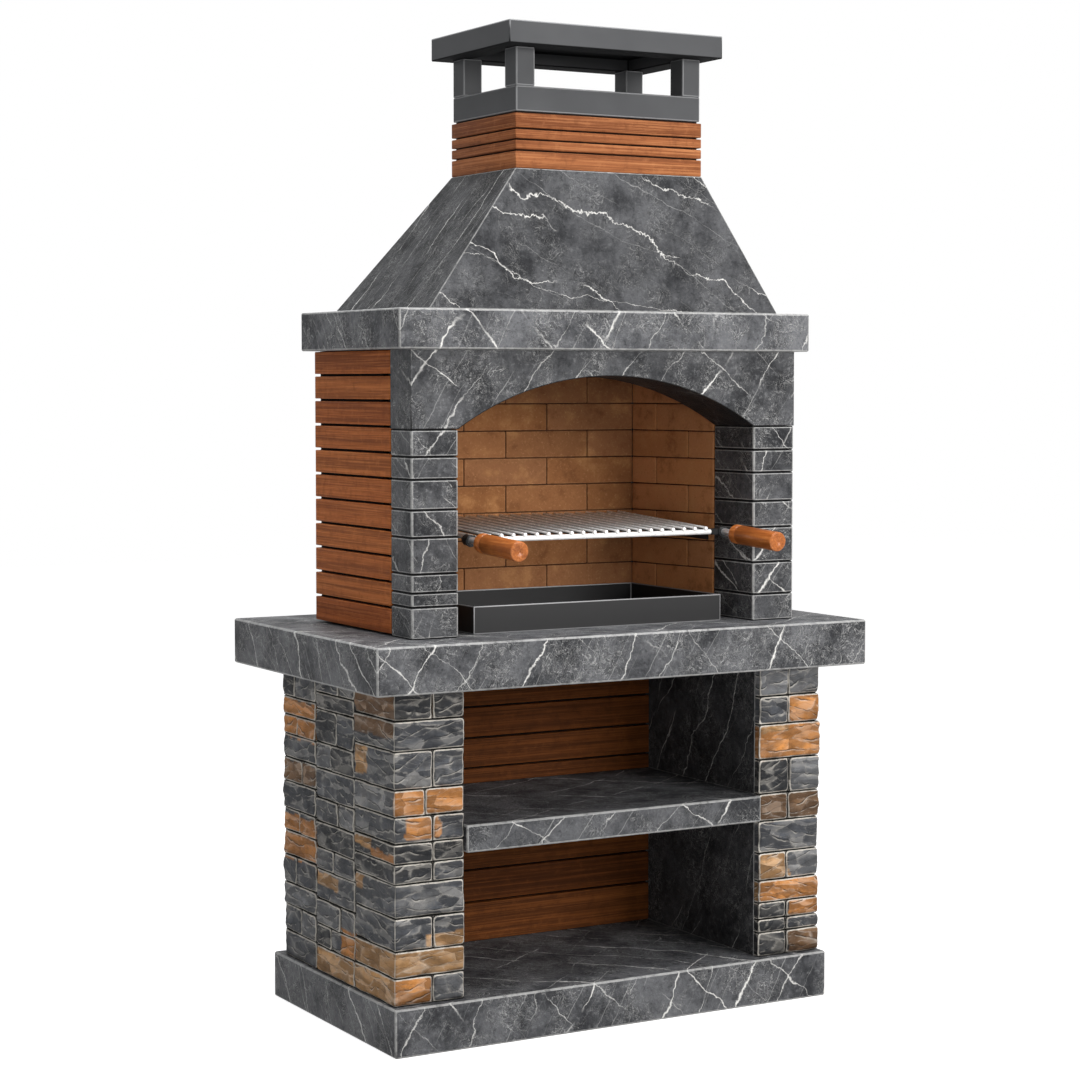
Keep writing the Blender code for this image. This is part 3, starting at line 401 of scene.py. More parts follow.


# %% [markdown]
# The slabs are dark grey marble-like stone. Pale veins run across each slab in its own direction,
# some strong and a few hair-fine, over cloudy patches of lighter and darker grey. The edges are
# rounded and pale, partly from wear and partly as painted highlight, and shade is painted dark
# where a piece beds on another or looks down. One function makes this stone, and each slab sets
# how its veins lie.
# %% Veined stone
STONE_DARK = colour(38, 39, 42)
STONE_PALE = colour(88, 89, 92)
STONE_FLECK = colour(124, 125, 127)
# Dark pits of the stone; also the colour of the curly lines' painted shadow.
STONE_PIT_AND_SHADE = colour(20, 21, 23)
# Near-black for painted shade: in bed joints, gaps, undersides and along stone rims.
STONE_PAINTED_SHADE = colour(14, 14, 15)
STONE_LINE = colour(186, 186, 185)
STONE_VEIN = colour(232, 231, 228)


def lying(tree, vector, way):
    """Coordinates whose X runs along a given way, so that veins stand square to it."""
    return placed(tree, vector, (1.0, 1.0, 1.0), Vector(way).to_track_quat("X", "Z").to_euler())


def veined_stone(name, way, seed, tint, spacing, amount, busy=1.0, thick=1.0, cross=None):
    """Veins stand square to a way. Spacing is in metres, and busy and thick scale the lines."""
    material, tree, shader, object_vector = new_material("veined stone, " + name, 0.55)
    vector = moved(tree, object_vector, carried(tree, "shift"))
    way = Vector(way).normalized()
    other = Vector(cross or (-0.75 * way.x, way.y, way.z + 0.15)).normalized()
    lie = lying(tree, vector, way)
    families = []
    for lines, apart, width, fewer, own_seed in (
        (lie, spacing, 0.0030, 0.0, seed),
        (lying(tree, vector, other), spacing * 0.8, 0.0020, 0.08, seed + 3.1),
        (lie, spacing * 0.37, 0.0012, 0.05, seed + 7.7),
    ):
        inputs = {"Vector": lines, "Spacing": apart, "Width": width * thick}
        inputs.update({"Amount": amount - fewer, "Seed": own_seed})
        families.append(use_group(tree, VEINS, inputs)["Vein"])
    strong, weak, fine = families
    curls = use_group(tree, CURLS, {"Vector": vector, "Scale": 27.0, "Width": 0.011})
    small = use_group(tree, CURLS, {"Vector": vector, "Scale": 105.0, "Width": 0.035})
    clouds = speckle(tree, wander(tree, vector, 5.0, 0.10, 3.0), 8.0, 7.0, 0.70)
    flecks = speckle(tree, vector, 75.0, 5.0, 0.75)
    dark = [part * tint for part in STONE_DARK[:3]]
    pale = [part * tint for part in STONE_PALE[:3]]
    base = mix(tree, ease(tree, clouds, 0.34, 0.66), (*dark, 1.0), (*pale, 1.0))
    base = mix(tree, ease(tree, flecks, 0.52, 0.70, 0.0, 0.62 * busy), base, STONE_FLECK)
    base = mix(tree, ease(tree, flecks, 0.47, 0.28, 0.0, 0.70), base, STONE_PIT_AND_SHADE)
    # Painted shadow beside the fine curly lines.
    base = mix(tree, times(tree, small["Shadow"], 0.40), base, STONE_PIT_AND_SHADE)
    base = mix(tree, times(tree, small["Line"], 0.28 * busy), base, STONE_LINE)
    # Painted shadow beside the curly lines.
    base = mix(tree, times(tree, curls["Shadow"], 0.50), base, STONE_PIT_AND_SHADE)
    base = mix(tree, times(tree, curls["Line"], 0.68 * busy), base, STONE_LINE)
    base = mix(tree, times(tree, fine, 0.45), base, STONE_LINE)
    base = mix(tree, times(tree, weak, 0.90), base, STONE_VEIN)
    base = mix(tree, times(tree, strong, 0.95), base, STONE_VEIN)
    grit = use_group(tree, GRIT, {"Vector": vector, "Scale": 320.0})
    base = mix(tree, times(tree, grit["Pits"], 0.40), base, STONE_PIT_AND_SHADE)
    edge_wear_and_light = use_group(tree, WEAR_AND_LIGHT, {"Vector": vector, "Amount": 0.62, "Scale": 70.0})
    # Pale edges: partly wear, partly painted highlight.
    base = mix(tree, times(tree, edge_wear_and_light["Wear_and_highlight"], 0.62), base, STONE_LINE)
    # Painted shade in bed joints and on undersides.
    base = mix(tree, times(tree, edge_wear_and_light["Painted_shade"], 0.90), base, STONE_PAINTED_SHADE)
    tree.links.new(base, shader.inputs["Base Color"])
    tree.links.new(ease(tree, clouds, 0.3, 0.7, 0.60, 0.44), shader.inputs["Roughness"])
    height = plus(tree, grit["Height"], times(tree, small["Height"], 0.9))
    relief(tree, shader, height, 0.0008)
    return material


# %% [markdown]
# Each slab gets a stone of its own, so that no vein runs on from one slab to the next. The veins
# stand square to a way, a direction in space: steep ones cross the plinth, the worktop and the
# mantel, and flatter ones slope across the hood. A tint above one makes a stone paler.
# %% A stone for each slab
STEEP = (-0.87, -0.80, 0.50)
HOOD_WAY = (0.42, 2.07, 0.91)
HOOD_CROSS = (0.22, 2.10, 0.98)
FIREBOX_WAY = (-0.87, -0.45, 0.55)
HOOD_SIDE_WAY = (0.10, 1.0, 0.20)
SHELF_WAY = (-0.60, -0.80, 0.45)
INNER_WAY = (-0.30, 0.85, 0.45)
plinth_stone = veined_stone("plinth", STEEP, seed=1.3, tint=1.18, spacing=0.085, amount=0.63, thick=0.70)
worktop_stone = veined_stone("worktop", STEEP, seed=5.2, tint=1.25, spacing=0.085, amount=0.63, thick=0.78)
mantel_stone = veined_stone("mantel", STEEP, seed=8.4, tint=1.48, spacing=0.09, amount=0.60, busy=1.2)
front_stone = veined_stone("firebox", FIREBOX_WAY, seed=2.9, tint=0.92, spacing=0.095, amount=0.58)
hood_stone = veined_stone(
    "hood", HOOD_WAY, seed=6.3, tint=0.98, spacing=0.072, amount=0.64, busy=0.5, thick=0.26, cross=HOOD_CROSS
)
# Painted shade: the hood's side slabs take a tint of 0.46 against the front's 0.98.
hood_side_stone_shaded = veined_stone(
    "hood sides in painted shade", HOOD_SIDE_WAY, seed=3.7, tint=0.46, spacing=0.085, amount=0.56, busy=0.5, thick=0.6
)
shelf_stone = veined_stone(
    "shelf", SHELF_WAY, seed=4.6, tint=1.1, spacing=0.075, amount=0.60, busy=0.7, thick=0.66
)
inner_stone = veined_stone(
    "inner", INNER_WAY, seed=7.1, tint=0.74, spacing=0.085, amount=0.54, busy=0.80, thick=0.42
)
print("veined stones:", sum(item.name.startswith("veined") for item in bpy.data.materials))

# %% [markdown]
# Split ledgestone breaks along its layers, so each stone is rough and ledged, and the colour
# changes from stone to stone: slate grey, near black, tan and rust. The mesh carries each
# point's colour, and the material adds stains and pale broken edges, which are partly wear and
# partly painted highlight. It also paints light and shade: highlights on the lips of the layers,
# on ridges and on facets that lean one way, shade at the feet of the layers and on facets that
# lean the other way, and a thin dark line of shade along each stone's rim.
# %% Split ledgestone


def split_stone():
    material, tree, shader, vector = new_material("split ledgestone", 0.70)
    own = carried(tree, "tone", "Color")
    shift = carried(tree, "shift")
    rim = carried(tree, "wear_and_painted_light")
    arris = carried(tree, "arris")
    thick = use_group(tree, LAYERS, {"Vector": vector, "Thickness": 0.027, "Shift": shift})
    other_shift = plus(tree, shift, 0.3)
    thin = use_group(tree, LAYERS, {"Vector": vector, "Thickness": 0.0105, "Shift": other_shift})
    facets = use_group(tree, FACETS, {"Vector": vector, "Size": (0.074, 0.086, 0.026)})
    clouds = speckle(tree, vector, 30.0, 6.0, 0.70)
    stains = speckle(tree, vector, 13.0, 4.0, 0.60)
    # bright and deep serve both tone changes and painted light; lip is the colour of painted highlights.
    bright = mix(tree, 0.36, own, STONE_RIM)
    deep = mix(tree, 0.72, own, STONE_SHADE)
    lip = mix(tree, 0.34, STONE_RIM, own)
    base = mix(tree, ease(tree, stains, 0.50, 0.68, 0.0, 0.65), own, bright)
    base = mix(tree, ease(tree, stains, 0.46, 0.30, 0.0, 0.45), base, STONE_STAIN, "MULTIPLY")
    base = mix(tree, ease(tree, clouds, 0.52, 0.30, 0.0, 0.70), base, deep)
    base = mix(tree, ease(tree, clouds, 0.52, 0.70, 0.0, 0.50), base, bright)
    # Painted light: each layer grows paler towards its lip.
    base = mix(tree, times(tree, thick["Rise"], 0.26), base, bright)
    base = mix(tree, ease(tree, shift, 0.55, 0.0, 0.0, 0.42), base, deep)
    base = mix(tree, ease(tree, facets["Shade"], 0.50, 0.10, 0.0, 0.50), base, deep)
    # Painted light and shade: each facet darker or paler by its lean.
    base = mix(tree, ease(tree, facets["Height"], 0.02, -0.12, 0.0, 0.60), base, deep)
    base = mix(tree, ease(tree, facets["Height"], 0.03, 0.15, 0.0, 0.48), base, bright)
    # Painted highlight along the ridges between facets.
    ridge = times(tree, facets["Ridge"], ease(tree, clouds, 0.46, 0.58))
    base = mix(tree, times(tree, ridge, 0.44), base, lip)
    # Painted shade at the feet of the layers, painted highlight on their lips.
    base = mix(tree, times(tree, thin["Foot"], 0.26), base, STONE_SHADE)
    base = mix(tree, times(tree, thin["Lip"], 0.20), base, lip)
    base = mix(tree, times(tree, thick["Foot"], 0.90), base, STONE_SHADE)
    base = mix(tree, times(tree, thick["Lip"], 0.72), base, lip)
    # Pale rims and corners: partly wear, partly painted highlight.
    chips = speckle(tree, vector, 85.0, 3.0, 0.6)
    near = plus(tree, rim, centred(tree, chips, 0.24))
    rim_shown = ease(tree, clouds, 0.34, 0.54, 0.35, 0.95)
    pale_rim = times(tree, ease(tree, near, 0.60, 0.76), rim_shown)
    base = mix(tree, pale_rim, base, STONE_RIM)
    base = mix(tree, times(tree, ease(tree, arris, 0.45, 0.90), 0.60), base, STONE_RIM)
    # Painted shade: a thin dark line along each stone's rim.
    base = mix(tree, ease(tree, rim, 0.88, 0.96, 0.0, 0.95), base, STONE_PAINTED_SHADE)
    tree.links.new(base, shader.inputs["Base Color"])
    grit = use_group(tree, GRIT, {"Vector": vector, "Scale": 300.0})["Height"]
    layers = plus(tree, thick["Height"], times(tree, thin["Height"], 0.4))
    broken = plus(tree, layers, times(tree, facets["Height"], 1.1))
    height = plus(tree, broken, times(tree, plus(tree, clouds, grit), 0.20))
    relief(tree, shader, height, 0.0125)
    return material


STONE_SHADE = colour(30, 30, 32)
STONE_STAIN = colour(170, 150, 132)
STONE_RIM = colour(214, 209, 200)
ledge_stone = split_stone()
print("stone:", ledge_stone.name)

# %% [markdown]
# Firebrick is an even, warm clay, blotched darker by smoke and paler by heat. The cast pieces are
# plain concrete. Two dark versions of it lie in the joints: a brown one is the mortar between the
# bricks, and a near-black one is painted shade behind the ledgestones and the boards.
# %% Brick and concrete


def fire_brick():
    material, tree, shader, vector = new_material("firebrick", 0.86)
    own = carried(tree, "tone", "Color")
    soot = speckle(tree, vector, 16.0, 6.0, 0.65)
    grains = speckle(tree, vector, 190.0, 3.0, 0.7)
    base = mix(tree, ease(tree, soot, 0.50, 0.70, 0.0, 0.45), own, BRICK_PALE)
    base = mix(tree, ease(tree, soot, 0.48, 0.30, 0.0, 0.50), base, BRICK_SMOKED)
    base = mix(tree, ease(tree, grains, 0.56, 0.74, 0.0, 0.28), base, BRICK_GRAIN)
    base = mix(tree, ease(tree, grains, 0.42, 0.26, 0.0, 0.50), base, BRICK_PIT)
    edge_wear_and_light = use_group(tree, WEAR_AND_LIGHT, {"Vector": vector, "Amount": 0.45, "Scale": 110.0})["Wear_and_highlight"]
    # Pale edges: partly wear, partly painted highlight.
    base = mix(tree, times(tree, edge_wear_and_light, 0.28), base, BRICK_EDGE)
    tree.links.new(base, shader.inputs["Base Color"])
    relief(tree, shader, use_group(tree, GRIT, {"Vector": vector, "Scale": 300.0})["Height"], 0.0010)
    return material


def cast_mass(name, light, dark):
    material, tree, shader, vector = new_material(name, 0.92)
    patches = speckle(tree, vector, 9.0, 6.0, 0.6)
    grit = use_group(tree, GRIT, {"Vector": vector, "Scale": 260.0})
    base = mix(tree, ease(tree, patches, 0.3, 0.7), dark, light)
    base = mix(tree, times(tree, grit["Pits"], 0.5), base, dark)
    tree.links.new(base, shader.inputs["Base Color"])
    relief(tree, shader, grit["Height"], 0.0012)
    return material


BRICK_PALE = colour(196, 142, 92)
BRICK_SMOKED = colour(98, 58, 32)
BRICK_GRAIN = colour(226, 174, 124)
BRICK_PIT = colour(112, 70, 44)
BRICK_EDGE = colour(214, 158, 108)
lining_brick = fire_brick()
cast_concrete = cast_mass("cast concrete", colour(128, 127, 124), colour(98, 97, 95))
# Painted shade: a near-black mass for the bed behind the stones and the battens behind the boards.
painted_shade_backing = cast_mass("dark joints", colour(24, 22, 21), colour(14, 13, 13))
brick_mortar = cast_mass("brick joints", colour(92, 62, 42), colour(62, 42, 30))
print("mineral finishes ready")

# %% [markdown]
# The cladding is oiled red-brown timber. Its grain runs level along every board, so the pattern is
# stretched a long way across and kept narrow in height. Each board carries its own shift, so no
# two boards show the same streaks. The grips are turned from the same kind of wood and varnished.
# %% Timber and varnish


def timber(name, tones, size, roughness=0.55, coat=0.0):
    """Wood in three tones, pale to dark, with streaks of one size in metres along each axis."""
    pale, mid, dark = tones
    material, tree, shader, vector = new_material(name, roughness, specular=0.06)
    shift = carried(tree, "shift")
    lie = placed(tree, vector, size)
    grain = use_group(tree, GRAIN, {"Vector": lie, "Shift": times(tree, shift, 37.0)})
    base = mix(tree, ease(tree, grain["Broad"], 0.0, 1.0, 0.30, 1.0), dark, mid)
    base = mix(tree, ease(tree, grain["Grain"], 0.5, 1.0, 0.0, 0.55), base, pale)
    base = mix(tree, ease(tree, grain["Grain"], 0.5, 0.0, 0.0, 0.60), base, dark)
    base = mix(tree, times(tree, grain["Pores"], 0.55), base, dark)
    blotch = speckle(tree, wander(tree, vector, 9.0, 0.05, 3.0), 38.0, 5.0, 0.65)
    base = mix(tree, ease(tree, blotch, 0.48, 0.34, 0.0, 0.34), base, dark)
    base = mix(tree, ease(tree, blotch, 0.54, 0.68, 0.0, 0.22), base, pale)
    base = mix(tree, times(tree, shift, 0.34), base, mid, "MULTIPLY")
    edge_wear_and_light = use_group(tree, WEAR_AND_LIGHT, {"Vector": vector, "Amount": 0.45, "Scale": 50.0})
    # Pale edges: partly wear, partly painted highlight.
    base = mix(tree, times(tree, edge_wear_and_light["Wear_and_highlight"], 0.35), base, pale)
    # Painted shade in the gaps between the chimney bands.
    base = mix(tree, times(tree, edge_wear_and_light["Painted_shade"], 0.95), base, STONE_PAINTED_SHADE)
    tree.links.new(base, shader.inputs["Base Color"])
    shader.inputs["Coat Weight"].default_value = coat
    shader.inputs["Coat Roughness"].default_value = 0.18
    height = maths(tree, "SUBTRACT", grain["Grain"], times(tree, grain["Pores"], 0.7))
    relief(tree, shader, height, 0.0003 if coat == 0 else 0.00006)
    return material


LEVEL_GRAIN = (0.30, 0.30, 0.0030)
BAND_GRAIN = (0.30, 0.30, 0.0028)
GRIP_GRAIN = (0.005, 0.09, 0.005)
SLAT_TONES = (colour(212, 133, 78), colour(180, 105, 56), colour(121, 66, 32))
BAND_TONES = (colour(192, 132, 88), colour(160, 100, 62), colour(106, 60, 36))
BOARD_TONES = (colour(138, 82, 42), colour(112, 64, 30), colour(72, 40, 19))
GRIP_TONES = (colour(198, 124, 68), colour(174, 100, 48), colour(130, 70, 32))
slat_timber = timber("slat timber", SLAT_TONES, LEVEL_GRAIN)
band_timber = timber("band timber", BAND_TONES, BAND_GRAIN)
board_timber = timber("board timber", BOARD_TONES, LEVEL_GRAIN)
grip_wood = timber("varnished wood", GRIP_TONES, GRIP_GRAIN, roughness=0.38, coat=0.3)
print("timbers:", slat_timber.name, band_timber.name, board_timber.name, grip_wood.name)

# %% [markdown]
# There are four metals: dull anthracite paint on the cap, posts and collar, satin black on the
# tray, the runners and the handle sockets, bright ground steel on the grate, and chrome on the
# handle rods. Metal needs a little unevenness in its gloss, or it looks like plastic.
# %% Metals


def metal(name, tone, rough_low, rough_high, metallic, scale, edge=None, specular=0.5):
    """Metal or paint on it: uneven in gloss at a scale, edges pale as wear and painted highlight, and
    painted shade.
    """
    material, tree, shader, vector = new_material(name, rough_high, metallic)
    uneven = speckle(tree, vector, scale, 4.0, 0.6)
    duller = [part * 0.8 for part in tone[:3]] + [1.0]
    shade = mix(tree, ease(tree, uneven, 0.3, 0.7, 0.0, 0.25), tone, duller)
    mask = carried(tree, "wear_and_painted_light")
    # Pale edges: partly wear, partly painted highlight.
    if edge:
        shade = mix(tree, ease(tree, mask, 0.25, 0.85, 0.0, 0.75), shade, edge)
    # Painted shade where the mask is below zero: dark, rough and nearly without gloss.
    shade = mix(tree, ease(tree, mask, 0.0, -1.0, 0.0, 0.92), shade, STONE_PAINTED_SHADE)
    tree.links.new(shade, shader.inputs["Base Color"])
    gloss = ease(tree, uneven, 0.3, 0.7, rough_low, rough_high)
    gloss = maths(tree, "MAXIMUM", gloss, ease(tree, mask, 0.0, -1.0, 0.0, 0.95))
    tree.links.new(gloss, shader.inputs["Roughness"])
    tree.links.new(ease(tree, mask, 0.0, -1.0, specular, 0.02), shader.inputs["Specular IOR Level"])
    relief(tree, shader, speckle(tree, vector, 700.0, 2.0), 0.00008)
    return material


# Pale edge colours: partly wear, partly painted highlight.
CAP_WEAR_AND_HIGHLIGHT = colour(136, 137, 139)
TRAY_WEAR_AND_HIGHLIGHT = colour(158, 158, 160)
cap_metal = metal("anthracite metal", colour(67, 68, 70), 0.46, 0.54, 0.12, 5.0, CAP_WEAR_AND_HIGHLIGHT, 0.12)
tray_metal = metal("satin black steel", colour(38, 38, 39), 0.36, 0.44, 0.14, 8.0, TRAY_WEAR_AND_HIGHLIGHT, 0.20)
grate_metal = metal("ground steel", colour(242, 241, 240), 0.22, 0.30, 0.15, 60.0)
rod_metal = metal("chrome", colour(232, 232, 234), 0.12, 0.20, 0.70, 40.0)
print("materials:", len(bpy.data.materials))

# %% [markdown]
# Most pieces start as a copy of their solid. Its loose triangles are merged and flat areas are
# joined, then the sharp edges are rounded, because a real slab never ends in a knife edge. A
# narrow band round each flat side is kept apart, so that the pale edges, partly wear and partly
# painted highlight, can fade across it.
# %% Copies of solids with rounded edges


def solid_of(node):
    bm = bmesh.new()
    bm.from_mesh(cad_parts[node].data)
    bmesh.ops.remove_doubles(bm, verts=bm.verts, dist=0.00001)
    bmesh.ops.dissolve_limit(bm, angle_limit=math.radians(0.5), verts=bm.verts, edges=bm.edges)
    return bm


def wear_and_light_layer(bm):
    return bm.verts.layers.float.get("wear_and_painted_light") or bm.verts.layers.float.new("wear_and_painted_light")


def carry(bm, name, value):
    """Gives every point of a mesh the same value, for a material to read."""
    layer = bm.verts.layers.float.new(name)
    for corner in bm.verts:
        corner[layer] = value


def round_off(bm, edge, segments, angle=40.0):
    limit = math.radians(angle)
    sharp = [line for line in bm.edges if line.is_manifold and line.calc_face_angle() > limit]
    bmesh.ops.bevel(
        bm,
        geom=sharp,
        offset=edge,
        segments=segments,
        profile=0.5,
        affect="EDGES",
        material=-1,
        clamp_overlap=True,
    )
    bmesh.ops.dissolve_degenerate(bm, dist=0.00002, edges=bm.edges)


def band_off(bm, band):
    """Keeps a band round each broad face, and marks everything outside it for pale edges of wear and painted
    highlight.
    """
    layer = wear_and_light_layer(bm)
    broad = []
    for face in bm.faces:
        longest = max(line.calc_length() for line in face.edges)
        if face.calc_area() / longest > 2.5 * band:
            broad.append(face)
    bmesh.ops.inset_individual(bm, faces=broad, thickness=band, use_even_offset=True)
    for corner in bm.verts:
        corner[layer] = 1.0
    for face in broad:
        for corner in face.verts:
            corner[layer] = 0.0


# %% [markdown]
# A finished mesh becomes a piece: an object with one material, shaded smooth except at its sharp
# edges. It rides on one of the three bodies, and the solids it replaces are hidden. Most pieces are
# dressed copies, so one more function takes all these steps.
# %% From mesh to piece


def show(name, bm, material, nodes, body="barbecue", angle=35.0):
    """Makes the piece, lets it ride on its body and hides the solids it stands for."""
    name = name.replace(" ", "_")
    mesh = bpy.data.meshes.new(name)
    bm.to_mesh(mesh)
    bm.free()
    mesh.materials.append(material)
    mesh.shade_smooth()
    mesh.set_sharp_from_angle(angle=math.radians(angle))
    piece = bpy.data.objects.new(name, mesh)
    bpy.context.scene.collection.objects.link(piece)
    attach(piece, body)
    if nodes:
        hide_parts(*nodes)
    return piece


def dressed(
    node, name, material, edge, segments, band, body="barbecue", bedded=False, painted_shade_below=False, shift=0.0
):
    """A rounded copy of a solid, with painted shade where it beds on others, and on faces that look down
    when asked.
    """
    bm = solid_of(node)
    low = min(corner.co.z for corner in bm.verts)
    high = max(corner.co.z for corner in bm.verts)
    round_off(bm, edge, segments, angle=25.0)
    band_off(bm, band)
    # Painted shade in the joints where it beds on the pieces above and below.
    if bedded:
        for corner in bm.verts:
            if min(corner.co.z - low, high - corner.co.z) < edge * 0.50:
                corner[wear_and_light_layer(bm)] = -1.0
    if shift:
        carry(bm, "shift", shift)
    # Painted shade on the faces that look down.
    if painted_shade_below:
        bm.normal_update()
        for face in bm.faces:
            if face.normal.z < -0.15:
                for corner in face.verts:
                    corner[wear_and_light_layer(bm)] = -0.80
    return show(name, bm, material, [node], body)


# %% [markdown]
# The stone slabs and blocks all take that road. The blocks of the two piers are rounded a little
# more, so that each stands apart from the next: a line of painted shade between two pale edges,
# which are partly wear and partly painted highlight.
# %% Slabs and blocks
SLAB_EDGE = 0.0038
SHELF_EDGE = 0.0030
BLOCK_EDGE = 0.0043
SLAB_BAND = 0.0018
for node, name, finish, edge in (
    ("base_plinth", "plinth slab", plinth_stone, SLAB_EDGE),
    ("worktop", "worktop slab", worktop_stone, SLAB_EDGE),
    ("mantel_slab", "mantel stone", mantel_stone, SLAB_EDGE),
    ("mid_shelf", "shelf slab", shelf_stone, SHELF_EDGE),
):
    dressed(node, name, finish, edge, 3, SLAB_BAND)
# The lintel's underside gets painted shade.
dressed("arch_lintel", "arched lintel", front_stone, 0.0020, 2, 0.002, painted_shade_below=True)
for word in ("left", "right"):
    dressed(f"{word}_inner_panel", f"{word} inner slab", inner_stone, 0.0012, 2, 0.002)
for word in ("front", "right", "back", "left"):
    finish = hood_stone if word in ("front", "back") else hood_side_stone_shaded
    dressed(f"hood_{word}", f"hood slab {word}", finish, 0.0014, 2, 0.0015)
blocks = sorted(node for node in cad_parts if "pier_block" in node)
for place, node in enumerate(blocks):
    own_shift = 1.0 + 0.37 * place
    name = node.replace("_", " ") + " dressed"
    dressed(node, name, front_stone, BLOCK_EDGE, 3, 0.002, bedded=True, shift=own_shift)
print("pier blocks:", len(blocks))

# %% [markdown]
# Ledgestone, bricks and boards are all rows of flat rectangles on the solids. This helper reads
# them back from a solid: every flat face that looks one way and stands proud, with its extent.
# %% Rectangles that stand proud


def proud(node, out, depth):
    """Rectangles (start, end, low, high, level) of faces that look one way, near the outermost."""
    bm = solid_of(node)
    across = Vector((-out.y, out.x, 0))
    found = []
    for face in bm.faces:
        if face.normal.dot(out) < 0.999:
            continue
        spots = [(corner.co.dot(across), corner.co.z, corner.co.dot(out)) for corner in face.verts]
        start = min(spot[0] for spot in spots)
        end = max(spot[0] for spot in spots)
        low = min(spot[1] for spot in spots)
        high = max(spot[1] for spot in spots)
        if end - start > 0.01 and high - low > 0.01:
            found.append((start, end, low, high, spots[0][2]))
    bm.free()
    outermost = max(spot[4] for spot in found)
    return sorted(spot for spot in found if spot[4] > outermost - depth)


def cut_along(bm, way, step):
    """Cuts every edge that runs one way into steps of about one size."""
    lines = []
    for line in bm.edges:
        run = line.verts[1].co - line.verts[0].co
        if run.length > step and abs(run.normalized().dot(way)) > 0.999:
            lines.append(line)
    by_cuts = {}
    for line in lines:
        by_cuts.setdefault(max(1, round(line.calc_length() / step) - 1), []).append(line)
    for cuts in sorted(by_cuts):
        bmesh.ops.subdivide_edges(bm, edges=by_cuts[cuts], cuts=cuts, use_grid_fill=True)


def slab_between(bm, across, out, start, end, low, high, back, front):
    """A box in the directions of a wall: across it, up, and out of it."""
    size = Matrix.Diagonal((end - start, front - back, high - low, 1.0))
    turn = Matrix((across, out, AXIS_Z)).transposed().to_4x4()
    middle = across * (start + end) / 2 + out * (front + back) / 2 + AXIS_Z * (low + high) / 2
    made = bmesh.ops.create_cube(bm, size=1.0, matrix=Matrix.Translation(middle) @ turn @ size)
    return made["verts"]


# %% [markdown]
# Most ledgestones are grey, and a few are rust or tan, often on one part of the stone only. So the
# colour is kept as patches on the wall: which face, from where to where, from what height to what
# height in metres, and which tone. A point outside all of them takes its stone's plain tone.
# %% Patches of colour
TONES = {
    "grey": colour(130, 132, 136),
    "mid": colour(94, 97, 103),
    "dark": colour(62, 64, 68),
    "brown": colour(146, 110, 78),
    "tan": colour(206, 158, 106),
    "rust": colour(224, 152, 84),
}
LEFT_PATCHES = (
    ("front", -0.57, -0.38, 0.521, 0.580, "rust"),
    ("front", -0.53, -0.45, 0.470, 0.521, "rust"),
    ("front", -0.48, -0.38, 0.228, 0.262, "tan"),
    ("front", -0.57, -0.38, 0.170, 0.228, "tan"),
    ("front", -0.57, -0.475, 0.107, 0.170, "rust"),
    ("side", -0.31, -0.11, 0.690, 0.795, "brown"),
    ("side", -0.17, -0.11, 0.600, 0.663, "tan"),
    ("side", -0.31, -0.19, 0.419, 0.440, "rust"),
    ("side", -0.19, -0.11, 0.440, 0.463, "tan"),
    ("side", -0.15, -0.11, 0.340, 0.374, "tan"),
    ("side", -0.31, -0.11, 0.107, 0.228, "tan"),
    ("side", -0.31, -0.20, 0.107, 0.170, "rust"),
    ("side", -0.11, -0.03, 0.166, 0.230, "rust"),
    ("side", -0.11, 0.10, 0.107, 0.166, "tan"),
    ("side", -0.02, 0.10, 0.310, 0.340, "tan"),
    ("side", 0.10, 0.30, 0.630, 0.720, "rust"),
    ("side", 0.10, 0.30, 0.530, 0.575, "brown"),
    ("side", 0.10, 0.30, 0.343, 0.450, "rust"),
)
RIGHT_PATCHES = (
    ("front", 0.475, 0.57, 0.657, 0.723, "rust"),
    ("front", 0.38, 0.475, 0.640, 0.660, "tan"),
    ("front", 0.38, 0.57, 0.575, 0.657, "rust"),
    ("front", 0.38, 0.57, 0.429, 0.493, "brown"),
    ("front", 0.38, 0.475, 0.288, 0.353, "tan"),
    ("front", 0.38, 0.57, 0.236, 0.288, "rust"),
    ("front", 0.475, 0.57, 0.196, 0.236, "rust"),
    ("front", 0.475, 0.57, 0.107, 0.165, "brown"),
    ("side", 0.10, 0.30, 0.590, 0.680, "rust"),
    ("side", -0.11, 0.10, 0.420, 0.480, "tan"),
    ("side", -0.31, -0.11, 0.575, 0.657, "rust"),
    ("side", -0.31, -0.11, 0.236, 0.288, "tan"),
    ("side", -0.11, 0.10, 0.107, 0.166, "tan"),
)


def tone_at(patches, face, along, height, plain):
    for where, start, end, low, high, tone in patches:
        if where == face and start <= along <= end and low <= height <= high:
            return TONES[tone]
    return plain


print("patches:", len(LEFT_PATCHES), "left and", len(RIGHT_PATCHES), "right")

# %% [markdown]
# Each split stone is a small prism cut into a fine grid. Every point on its shown sides is then
# pushed out or in: a broad swell, ledges where the layers broke, a fine tooth, and a drop towards
# the stone's rim. A displacement in the material would be lost in the plain mesh, so the shape is
# made here. Distances to the rim and to the corner also tell the material where to lay pale edges,
# partly wear and partly painted highlight, and a thin line of painted shade at the rim.
# %% Broken faces
ROUND_CORNER = 0.009
RIM_DROP = 0.0042
RIM_REACH = 0.008
CORNER_DROP = 0.0022
CORNER_REACH = 0.006


def cleft(point, seed):
    """How far a broken face stands out at a point, in metres."""
    spot = point + seed
    swell = noise.noise(Vector((spot.x * 16, spot.y * 16, spot.z * 26)))
    ledge = math.floor(noise.noise(Vector((spot.x * 20, spot.y * 20, spot.z * 48))) * 4) / 4
    tooth = noise.noise(spot * 120)
    return 0.0023 * swell + 0.0032 * ledge + 0.0008 * tooth


